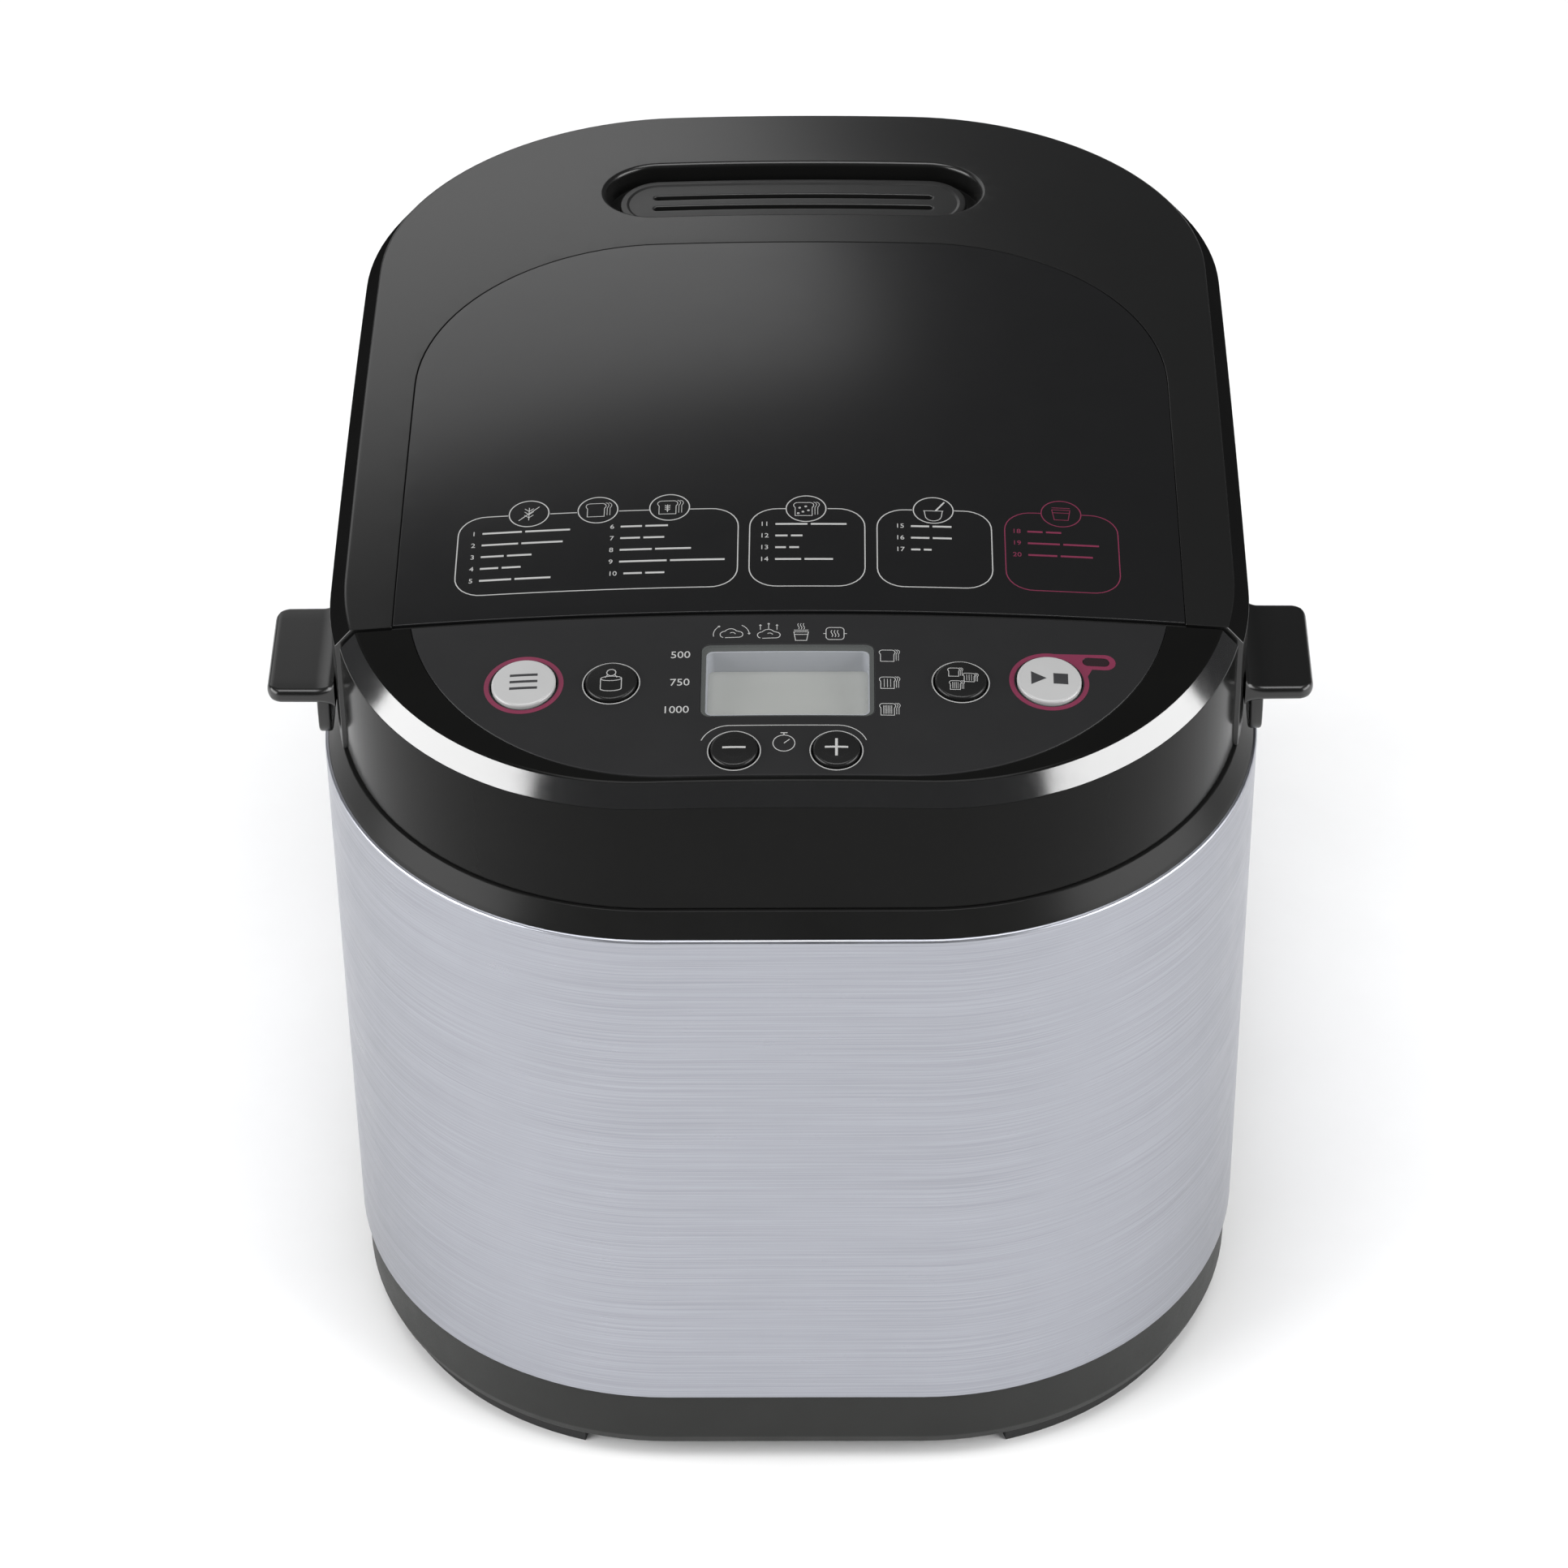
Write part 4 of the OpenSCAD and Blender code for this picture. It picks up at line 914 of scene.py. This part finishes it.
class Ink:
    """Printed marks: thin forms laid on a surface whose height is given by height(x, y)."""
    STEP = 3.0

    def __init__(self, height):
        self.height = height
        self.skin = Skin()

    def stroke(self, points, width, closed=False):
        fine = []
        ends = list(points) + ([points[0]] if closed else [])
        for p, q in zip(ends, ends[1:]):
            n = max(1, math.ceil(math.dist(p, q) / self.STEP))
            fine += [p] + between(p, q, n)
        if not closed:
            fine.append(ends[-1])
        pts = [Vector(p) for p in fine]
        n = len(pts)
        left, right = [], []
        for i, p in enumerate(pts):
            before = pts[i - 1] if closed or i else None
            after = pts[(i + 1) % n] if closed or i < n - 1 else None
            u = (p - before).normalized() if before is not None else (after - p).normalized()
            v = (after - p).normalized() if after is not None else u
            m = Vector((-u.y - v.y, u.x + v.x))
            m = m.normalized() if m.length > 1e-6 else Vector((-u.y, u.x))
            reach = width / 2 / max(0.5, abs(m.dot(Vector((-u.y, u.x)))))
            left.append(p + m * reach)
            right.append(p - m * reach)
        a = self.skin.add([(*p, self.height(*p)) for p in left])
        b = self.skin.add([(*p, self.height(*p)) for p in right])
        self.skin.strip(a, b, closed)

    def blot(self, *outlines):
        loops = [self.skin.add([(x, y, self.height(x, y)) for x, y in o]) for o in outlines]
        self.skin.fill(loops, top_point, lambda x, y: (x, y, self.height(x, y)), 4.0)

    def ring(self, x, y, r, width):
        self.stroke(ring_points(x, y, r, 56), width, True)

    def digits(self, text, x, y, size, align="LEFT"):
        curve = bpy.data.curves.new("digits", "FONT")
        curve.body, curve.size, curve.align_x, curve.align_y = text, size, align, "CENTER"
        curve.resolution_u = 4
        temp = bpy.data.objects.new("digits", curve)
        bpy.context.scene.collection.objects.link(temp)
        bpy.context.view_layer.update()
        mesh = bpy.data.meshes.new_from_object(temp.evaluated_get(bpy.context.evaluated_depsgraph_get()))
        ids = self.skin.add([(x + v.co.x, y + v.co.y, self.height(x + v.co.x, y + v.co.y))
                             for v in mesh.vertices])
        for f in mesh.polygons:
            self.skin.face(tuple(ids[i] for i in f.vertices))
        bpy.data.objects.remove(temp)
        bpy.data.curves.remove(curve)
        bpy.data.meshes.remove(mesh)

    def make(self, name, finish, body, slot):
        skin = self.skin
        mesh = bpy.data.meshes.new(name)
        mesh.from_pydata([Vector(p) * MM for p in skin.points], [], skin.faces)
        bm = bmesh.new()
        bm.from_mesh(mesh)
        bmesh.ops.remove_doubles(bm, verts=bm.verts, dist=1e-7)
        for f in bm.faces:
            if f.normal.z < 0:
                f.normal_flip()
        bm.to_mesh(mesh)
        bm.free()
        obj = bpy.data.objects.new(name, mesh)
        bpy.context.scene.collection.objects.link(obj)
        mesh.materials.append(finish)
        mesh.shade_flat()
        thick = obj.modifiers.new("thickness", "SOLIDIFY")
        thick.thickness, thick.offset = INK_T * MM, -1.0
        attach(obj, body)


def bread(ink, x, y, s, width=0.2, lines=0):
    """A slice of bread seen a little from the side. lines shade its crumb."""
    half = 0.42 * s
    crown = arc(x - 0.3 * s, y + 0.3 * s, 0.2 * s, 210, 90, 5)
    crown += arc(x + 0.3 * s, y + 0.3 * s, 0.2 * s, 90, -30, 5)
    ink.stroke([(x - half, y - 0.5 * s), (x - half, y + 0.12 * s)] + crown
               + [(x + half, y + 0.12 * s), (x + half, y - 0.5 * s)], width, True)
    for k in (1, 2):
        u = x + 0.14 * s * k
        ink.stroke(arc(u + 0.3 * s, y + 0.34 * s, 0.2 * s, 80, -30, 4)
                   + [(u + half, y + 0.14 * s), (u + half, y - 0.42 * s)], width * 0.8)
    for k in range(lines):
        u = x - 0.3 * s + 0.6 * s * (k + 0.5) / lines
        ink.stroke([(u, y - 0.38 * s), (u, y + 0.34 * s)], width * 0.8)


def dough(ink, x, y, s):
    """A lump of dough: three soft bulges on a flat bottom."""
    ink.stroke(arc(x - 0.32 * s, y, 0.22 * s, 250, 90, 6)
               + arc(x - 0.02 * s, y + 0.1 * s, 0.3 * s, 140, 30, 7)
               + arc(x + 0.36 * s, y, 0.2 * s, 80, -80, 6) + [(x - 0.3 * s, y - 0.22 * s)], 0.22)
    ink.stroke(arc(x + 0.05 * s, y - 0.02 * s, 0.16 * s, 130, 20, 4), 0.2)


def arrow(ink, points, width=0.2, head=0.6):
    ink.stroke(points, width)
    (x0, y0), (x1, y1) = points[-2], points[-1]
    turn = math.atan2(y1 - y0, x1 - x0)
    for side in (-1, 1):
        t = turn + math.pi + side * 0.6
        ink.stroke([(x1, y1), (x1 + head * math.cos(t), y1 + head * math.sin(t))], width)


def waves(ink, x, y, s, n=3, width=0.2):
    for k in range(n):
        u = x + (k - (n - 1) / 2) * s * 0.32
        ink.stroke([(u + 0.09 * s * math.sin(math.tau * t / 8), y + s * (t / 8 - 0.5))
                    for t in range(9)], width)


def bowl(ink, x, y, s):
    width = 0.22
    ink.stroke([(x - 0.55 * s, y + 0.1 * s), (x + 0.55 * s, y + 0.1 * s)], width)
    ink.stroke([(x - 0.5 * s, y + 0.1 * s), (x - 0.45 * s, y - 0.3 * s)]
               + arc(x, y - 0.3 * s, 0.45 * s, 200, 340, 7)
               + [(x + 0.45 * s, y - 0.3 * s), (x + 0.5 * s, y + 0.1 * s)], width)


def pot(ink, x, y, s):
    width = 0.22
    ink.stroke([(x - 0.5 * s, y + 0.35 * s), (x + 0.5 * s, y + 0.35 * s), (x + 0.38 * s, y - 0.5 * s),
                (x - 0.38 * s, y - 0.5 * s)], width, True)
    ink.stroke([(x - 0.5 * s, y + 0.52 * s), (x + 0.5 * s, y + 0.52 * s)], width)
    ink.stroke([(x - 0.44 * s, y + 0.1 * s), (x + 0.44 * s, y + 0.1 * s)], width)


def ear(ink, x, y, s, width=0.2):
    """An ear of grain: a stem and three pairs of leaves."""
    ink.stroke([(x, y - 0.5 * s), (x, y + 0.45 * s)], width)
    for k in range(3):
        v = y - 0.3 * s + 0.24 * s * k
        for side in (-1, 1):
            ink.stroke([(x, v), (x + side * 0.22 * s, v + 0.2 * s)], width)


def boxed(ink, x0, x1, y0, y1, icons):
    """A rounded frame that stops at the round frames of the icons on its back edge."""
    width, corner, fine_step = 0.32, 8.0, 0.5
    path = round_rect((x1 - x0) / 2, (y1 - y0) / 2, corner, 10, (x0 + x1) / 2, (y0 + y1) / 2)
    fine = []
    for p, q in zip(path, path[1:] + path[:1]):
        fine += [p] + between(p, q, max(1, round(math.dist(p, q) / fine_step)))
    clear = [all(math.dist(p, c) > ICON_R for c in icons) for p in fine]
    start = clear.index(False)
    run = []
    for k in range(len(fine) + 1):
        i = (start + k) % len(fine)
        if clear[i]:
            run.append(fine[i])
            continue
        if len(run) > 1:
            ink.stroke(run[:-1:4] + [run[-1]], width)
        run = []
    for c in icons:
        ink.ring(*c, ICON_R, width)


def programs(ink, first, x, y, lengths):
    """Numbered programs. Each name is a plain bar, broken once."""
    digit, bar, gap = 2.7, 0.75, 1.0
    for k, length in enumerate(lengths):
        v = y - ROW_PITCH * k
        ink.digits(str(first + k), x, v, digit)
        start = x + (4.6 if first + k > 9 else 3.2)
        split = start + length * 0.45
        ink.stroke([(start, v), (split, v)], bar)
        ink.stroke([(split + gap, v), (start + length, v)], bar)


def on_panel(x, y):
    """Height of print on the inlay and the overlay."""
    return dome(x, y, -RAISE)


def lid_print():
    ink = Ink(on_panel)
    icons = [(-77.3, -55.5), (-56.8, -55.2), (-35.5, -55.0)]
    (x0, y0), (x1, y1), (x2, y2) = icons
    boxed(ink, -98, -15, -91, -56, icons)
    ear(ink, x0, y0, 6)
    ink.stroke([(x0 - 3, y0 - 3), (x0 + 3, y0 + 3)], 0.25)
    bread(ink, x1 - 0.6, y1, 6)
    bread(ink, x2 - 0.6, y2, 6)
    ear(ink, x2 - 0.6, y2 - 0.3, 3.6, 0.22)
    boxed(ink, -11.6, 22.4, -91, -56.4, [(5, -56.4)])
    bread(ink, 4.3, -56.6, 6)
    for dx, dy in ((-1.2, 0.6), (0.6, 1.2), (-0.2, -1.2), (1.4, -0.6), (-1.6, -1.9)):
        ink.ring(4.3 + dx, -56.6 + dy, 0.25, 0.25)
    boxed(ink, 26, 59.8, -91, -56.6, [(42.7, -56.6)])
    bowl(ink, 42.7, -57.4, 5.4)
    ink.stroke([(43.4, -56.8), (46.0, -52.8)], 0.5)
    programs(ink, 1, -94.0, -63.6, (26, 24, 15, 12, 21))
    programs(ink, 6, -53.0, -63.2, (14, 13, 21, 31, 12))
    programs(ink, 11, -8.6, -63.4, (21, 8, 7, 17))
    programs(ink, 15, 31.4, -64.0, (12, 12, 6))
    ink.make("lid_print_grey", print_grey, LID, "cap_grey")
    red = Ink(on_panel)
    boxed(red, 63.7, 97.2, -91, -56.4, [(80.6, -56.3)])
    pot(red, 80.6, -56.4, 5.4)
    programs(red, 18, 65.8, -65.0, (10, 21, 19))
    red.make("lid_print_crimson", print_crimson, LID, "led_lens")


def overlay_print():
    ink = Ink(on_panel)
    for text, y in (("500", -119.6), ("750", -130.8), ("1000", -141.7)):
        ink.digits(text, -28.0, y, 3.9, "RIGHT")
    for k, y in enumerate((-120.2, -131.2, -141.8)):
        bread(ink, 28.6, y, 4.6, 0.2, 3 * k)
    stages(ink)
    # timer arc, stopwatch, and the thin rings round the dark buttons
    ink.stroke(arc(-16.3, -156.8, 8.6, 160, 92, 8) + arc(14.4, -156.8, 8.6, 88, 20, 8), 0.24)
    ink.ring(-0.9, -155.2, 3.1, 0.24)
    ink.stroke([(-0.9, -155.2), (0.7, -153.7)], 0.26)
    ink.stroke([(-1.9, -151.2), (0.1, -151.2)], 0.3)
    ink.stroke([(-0.9, -151.2), (-0.9, -152.2)], 0.3)
    for name in ("weight_button", "crust_button", "minus_button", "plus_button"):
        ink.ring(*centre(name), CAP_R[name] + 0.8, 0.3)
    ink.make("overlay_print_grey", print_grey, BASE, "cap_grey")
    red = Ink(on_panel)
    red.ring(*centre("menu_button"), 10.8, 1.4)
    x, y = centre("start_button")
    light_x, light_y = centre("status_light")
    outer = (arc(x, y, 11.5, 81, 360 + 14, 48) + [(light_x - 1.2, light_y - 3.1)]
             + arc(light_x + 2.6, light_y, 3.1, -90, 90, 10))
    red.blot(outer, ring_points(x, y, 10.1), round_rect(3.9, 1.7, 1.65, 6, light_x, light_y))
    red.make("overlay_print_crimson", print_crimson, BASE, "led_lens")


def stages(ink):
    """Four marks behind the display: kneading, rising, baking and keeping warm."""
    dough(ink, -16.4, -111.4, 6.0)
    arrow(ink, arc(-17.2, -111.4, 4.4, 190, 125, 5))
    arrow(ink, arc(-15.6, -111.4, 4.4, 60, 0, 5))
    dough(ink, -5.6, -111.8, 6.0)
    for dx, low, high in ((-2.4, -109.6, -107.4), (0, -109.2, -106.8), (2.4, -109.6, -107.4)):
        arrow(ink, [(-5.6 + dx, low), (-5.6 + dx, high)], 0.2, 0.55)
    pot(ink, 3.8, -112.0, 4.2)
    waves(ink, 3.8, -108.2, 2.4, 3, 0.18)
    ink.stroke(round_rect(2.6, 2.5, 1.1, 4, 13.6, -111.2), 0.22, True)
    for x in (10.2, 16.2):
        ink.stroke([(x, -111.2), (x + 0.8, -111.2)], 0.22)
    waves(ink, 13.6, -111.2, 2.8, 3, 0.2)


def cap_print(name, draw, finish, slot):
    ink = Ink(lambda x, y: dome(x, y, -cap_rise(name, x, y) - RAISE))
    draw(ink, *centre(name))
    ink.make(name + "_symbol", finish, name + "_body", slot)


def menu_mark(ink, x, y):
    for k in (-1, 0, 1):
        ink.stroke([(x - 4.0, y + 2.6 * k), (x + 4.0, y + 2.6 * k)], 0.95)


def start_mark(ink, x, y):
    ink.blot([(x - 5.2, y - 2.6), (x - 0.8, y), (x - 5.2, y + 2.6)])
    ink.blot([(x + 1.2, y - 2.1), (x + 5.4, y - 2.1), (x + 5.4, y + 2.1), (x + 1.2, y + 2.1)])


def weight_mark(ink, x, y):
    """A round weight on its knob."""
    half, deep, line = 3.0, 0.9, 0.22
    ink.ring(x, y + 3.0, 1.3, 0.24)
    for s in (-1, 1):
        ink.stroke([(x + s * 1.1, y + 2.0), (x + s * 1.7, y + 1.0)], line)
    top = [math.tau * i / 28 for i in range(28)]
    ink.stroke([(x + half * math.cos(t), y + 0.6 + deep * math.sin(t)) for t in top], line, True)
    low = [math.pi * (1 + k / 10) for k in range(1, 10)]
    ink.stroke([(x - half, y + 0.5), (x - half, y - 3.4)]
               + [(x + half * math.cos(t), y - 3.4 + deep * math.sin(t)) for t in low]
               + [(x + half, y - 3.4), (x + half, y + 0.5)], line)


def crust_mark(ink, x, y):
    bread(ink, x - 2.0, y + 2.6, 3.4, 0.18)
    bread(ink, x + 2.4, y + 0.6, 3.4, 0.18, 3)
    bread(ink, x - 1.6, y - 2.6, 3.4, 0.18, 4)


def minus_mark(ink, x, y):
    ink.stroke([(x - 3.3, y), (x + 3.3, y)], 0.7)


def plus_mark(ink, x, y):
    minus_mark(ink, x, y)
    half, near, far = 0.38, 0.38, 3.3
    for low, high in ((y + near, y + far), (y - far, y - near)):
        ink.blot([(x - half, low), (x + half, low), (x + half, high), (x - half, high)])


lid_print()
overlay_print()
for name, draw in (("menu_button", menu_mark), ("start_button", start_mark)):
    cap_print(name, draw, symbol_black, "cap_black")
for name, draw in (("weight_button", weight_mark), ("crust_button", crust_mark),
                   ("minus_button", minus_mark), ("plus_button", plus_mark)):
    cap_print(name, draw, print_grey, "cap_grey")


# ---------------------------------------------------------------- collar and base
def collar():
    """The moulded ring between the steel and the top, with the deck round the chamber's mouth."""
    skin = Skin()
    z1 = wrap_hi.z
    foot_z, under_z = z1 - 8, DECK_Z - 3.0
    profile = rounded([(2.4, foot_z), (2.4, z1 - 0.2), (0.95, z1 - 0.1), (1.6, z1 + 1.2), (5.0, DECK_Z),
                       (9.0, DECK_Z)], [0.2, 0.1, 1.0, 0.6], 3)
    ids = skin.rings([at_height(body_ring(d), z) for d, z in profile])
    inner = skin.rings([at_height(body_ring(5.4), z) for z in (foot_z, under_z)])
    skin.strip(ids[0], inner[0])
    mouth = round_rect(104, 81.5, 27, 10, 0, centre("lid_seal")[1], side=6)
    front = round_rect(88, 26, 18, 8, 0, -136, side=6)
    tops = [skin.add(at_height(h, DECK_Z)) for h in (mouth, front)]
    lows = [skin.add(at_height(h, under_z)) for h in (mouth, front)]
    for a, b in zip(tops, lows):
        skin.strip(a, b)
    skin.fill([ids[-1]] + tops, top_point)
    skin.fill([inner[-1]] + lows, top_point)
    ring = skin.make("collar_ring", satin_black, BASE, slot="satin_black", replaces=["collar"])
    # groove for the swing of the lid's back edge
    tool = Skin()
    r, half = 5.6, 62
    groove = arc(HINGE_Y, HINGE_Z, r, 90, 270, 20) + [(B + 2, HINGE_Z - r), (B + 2, HINGE_Z + r)]
    prism(tool, groove, -half, half, "x")
    carve(ring, tool)


def base_shell():
    """The moulded base: turned-in foot line, air slots, screw wells and bosses."""
    skin = Skin()
    low, floor_z, boss_z = 4.5, 7.5, 38
    profile = rounded([(7.4, low), (4.6, 5.3), (2.6, 7.3), (1.5, 10.5), (1.2, 28.9), (1.9, 28.9), (1.9, 36),
                       (4.2, 36), (4.2, 20), (4.2, floor_z)], [2.0, 1.5, 3.0, 0.4, 0, 0.4, 0.4, 0], 4)
    ids = skin.rings([at_height(body_ring(d), z) for d, z in profile])
    bottoms, floors = [ids[0]], [ids[-1]]
    for x in range(-54, 55, 12):
        slot = round_rect(2, 22.5, 1.9, 5, x, 112.5)
        a, b = skin.rings([at_height(slot, z) for z in (low, floor_z)])
        bottoms.append(a)
        floors.append(b)
    for x, y in SCREWS:
        well = skin.rings([at_height(ring_points(x, y, r, 32), z)
                           for r, z in ((4.3, low), (4, low + 0.3), (4, floor_z + 1))])
        skin.face(tuple(well[-1]))
        bottoms.append(well[0])
        boss = skin.rings([at_height(ring_points(x, y, 6, 32), z) for z in (floor_z, boss_z)])
        skin.face(tuple(boss[1]))
        floors.append(boss[0])
    skin.fill(bottoms, top_point)
    skin.fill(floors, top_point)
    skin.make("base_moulding", base_plastic, BASE, slot="base_plastic", replaces=["base_tray"])


collar()
base_shell()


# ---------------------------------------------------------------- studio
def studio():
    scene = bpy.context.scene
    world = bpy.data.worlds.new("studio")
    scene.world = world
    world.use_nodes = True
    tree = world.node_tree
    back = tree.nodes["Background"]
    back.inputs["Color"].default_value = (0.95, 0.97, 1.0, 1)
    back.inputs["Strength"].default_value = 0.1
    floor_skin = Skin()
    rings = lathe(floor_skin, [(1, 0), (4000, 0)], (0, 0), 96)
    floor_skin.face(tuple(rings[0]))
    mesh = bpy.data.meshes.new("floor")
    mesh.from_pydata([Vector(p) * MM for p in floor_skin.points], [], floor_skin.faces)
    floor = bpy.data.objects.new("floor", mesh)
    white = surface("floor_white", (0.9, 0.9, 0.9), rough=0.6, vary=0.01, grain=0.0, level=0.2)
    mesh.materials.append(white)
    scene.collection.objects.link(floor)
    target = Vector((0, 0, 0.15))
    softbox("softbox_top", (0.0, -0.35, 2.7), Vector((0, -0.1, 0)), 1.9, 1.5, 47)
    softbox("softbox_back", (-1.0, 2.2, 1.4), Vector((0, 0, 0.25)), 2.2, 1.2, 10.5)
    softbox("softbox_left", (-1.7, -0.62, 0.75), target, 1.8, 1.2, 46)
    softbox("softbox_right", (1.7, -0.62, 0.75), target, 1.8, 1.2, 44)
    scene.view_settings.view_transform = "Standard"


def softbox(name, at, target, width, height, power):
    data = bpy.data.lights.new(name, "AREA")
    data.shape, data.size, data.size_y, data.energy = "RECTANGLE", width, height, power
    light = bpy.data.objects.new(name, data)
    light.location = at
    light.rotation_euler = (target - Vector(at)).to_track_quat("-Z", "Y").to_euler()
    light.visible_camera = False
    bpy.context.scene.collection.objects.link(light)


studio()


# ---------------------------------------------------------------- CAD nodes
def speckled():
    """Dark non-stick coating with fine light specks."""
    m = surface("pan_coating", (0.05, 0.05, 0.052), rough=0.38, grain=0.006, grain_size=3.0, vary=0.1)
    t = m.node_tree
    p = t.nodes["Principled BSDF"]
    base = p.inputs["Base Color"].links[0].from_socket
    coords = node(t, "ShaderNodeTexCoord").outputs["Object"]
    dots = node(t, "ShaderNodeTexVoronoi", Scale=600.0)
    t.links.new(coords, dots.inputs["Vector"])
    mask = ramp(t, dots.outputs["Distance"], [(0.1, 1.0), (0.2, 0.0)])
    mix = node(t, "ShaderNodeMix", data_type="RGBA")
    t.links.new(mask, mix.inputs["Factor"])
    t.links.new(base, mix.inputs[6])
    mix.inputs[7].default_value = (0.3, 0.3, 0.3, 1)
    t.links.new(mix.outputs[2], p.inputs["Base Color"])
    return m


def striped(name, light, dark, pitch, axis, rough=0.4, metal=0.0):
    """Fine parallel bands, such as stacked sheets or wound wire."""
    m = surface(name, light, rough=rough, metal=metal, grain=0.01)
    t = m.node_tree
    p = t.nodes["Principled BSDF"]
    coords = node(t, "ShaderNodeTexCoord").outputs["Object"]
    wave = node(t, "ShaderNodeTexWave", Scale=math.tau / (pitch * MM) / 20, bands_direction=axis)
    t.links.new(coords, wave.inputs["Vector"])
    t.links.new(ramp(t, wave.outputs["Fac"], [(0.2, dark), (0.6, light)]), p.inputs["Base Color"])
    return m


def clear_window():
    m = surface("window", (0.35, 0.37, 0.36), rough=0.08, grain=0.0, vary=0.03)
    m.node_tree.nodes["Principled BSDF"].inputs["Alpha"].default_value = 0.12
    return m


FINISH = {
    "base_plastic": base_plastic,
    "rubber": surface("rubber", (0.012, 0.012, 0.012), rough=0.75, grain=0.05, grain_size=1.5),
    "fastener_steel": surface("fastener_steel", (0.5, 0.5, 0.5), rough=0.3, metal=1.0, grain=0.004),
    "wrap_steel": steel,
    "gloss_black": gloss_black,
    "satin_black": satin_black,
    "panel_black": panel_black,
    "window": clear_window(),
    "display": surface("display", (0.36, 0.365, 0.35), rough=0.4, vary=0.03, grain=0.002),
    "circuit_board": striped("circuit_board", (0.02, 0.12, 0.05), (0.015, 0.08, 0.035), 2.5, "X"),
    "switch_body": surface("switch_body", (0.05, 0.055, 0.06), rough=0.4),
    "led_lens": surface("led_lens", (0.02, 0.012, 0.014), rough=0.12, grain=0.002, vary=0.1),
    "chamber_steel": surface("chamber_steel", (0.5, 0.5, 0.5), rough=0.3, metal=1.0, grain=0.003,
                             stretch=(0.1, 0.1, 3), vary=0.06),
    "shield_steel": surface("shield_steel", (0.42, 0.42, 0.43), rough=0.42, metal=1.0, patch=0.06),
    "element": surface("element", (0.09, 0.085, 0.08), rough=0.5, metal=0.6, grain=0.02, vary=0.3),
    "ceramic": surface("ceramic", (0.75, 0.72, 0.65), rough=0.5, grain=0.01),
    "pan_coating": speckled(),
    "bronze": surface("bronze", (0.55, 0.38, 0.16), rough=0.35, metal=1.0),
    "shaft_steel": surface("shaft_steel", (0.55, 0.56, 0.58), rough=0.22, metal=1.0, grain=0.003,
                           stretch=(1, 1, 6)),
    "cast_alloy": surface("cast_alloy", (0.38, 0.39, 0.4), rough=0.5, metal=0.9, grain=0.05, grain_size=1.0),
    "lamination": striped("lamination", (0.22, 0.23, 0.24), (0.1, 0.1, 0.11), 0.7, "Z", metal=0.8),
    "copper": striped("copper", (0.5, 0.2, 0.08), (0.25, 0.08, 0.03), 0.8, "DIAGONAL", metal=0.9),
    "capacitor_white": surface("capacitor_white", (0.7, 0.7, 0.67), rough=0.4),
    "phenolic": surface("phenolic", (0.3, 0.17, 0.06), rough=0.5, vary=0.2, patch=0.1),
    "relay_blue": surface("relay_blue", (0.02, 0.07, 0.22), rough=0.35),
    "terminal_green": surface("terminal_green", (0.04, 0.2, 0.07), rough=0.4),
    "belt_rubber": striped("belt_rubber", (0.02, 0.02, 0.02), (0.008, 0.008, 0.008), 2.0, "X", rough=0.7),
    "cap_grey": cap_grey,
    "cap_black": cap_black,
    "silicone": surface("silicone", (0.28, 0.1, 0.06), rough=0.5, grain=0.01),
    "liner": surface("liner", (0.48, 0.49, 0.5), rough=0.34, metal=1.0, grain=0.003, vary=0.06),
}


def dress_cad_nodes():
    """Gives every CAD node the finish of its material slot."""
    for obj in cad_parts.values():
        for holder in obj.material_slots:
            slot = holder.material.name.split(".")[0] if holder.material else ""
            holder.material = FINISH.get(slot) or FINISH["base_plastic"]


dress_cad_nodes()
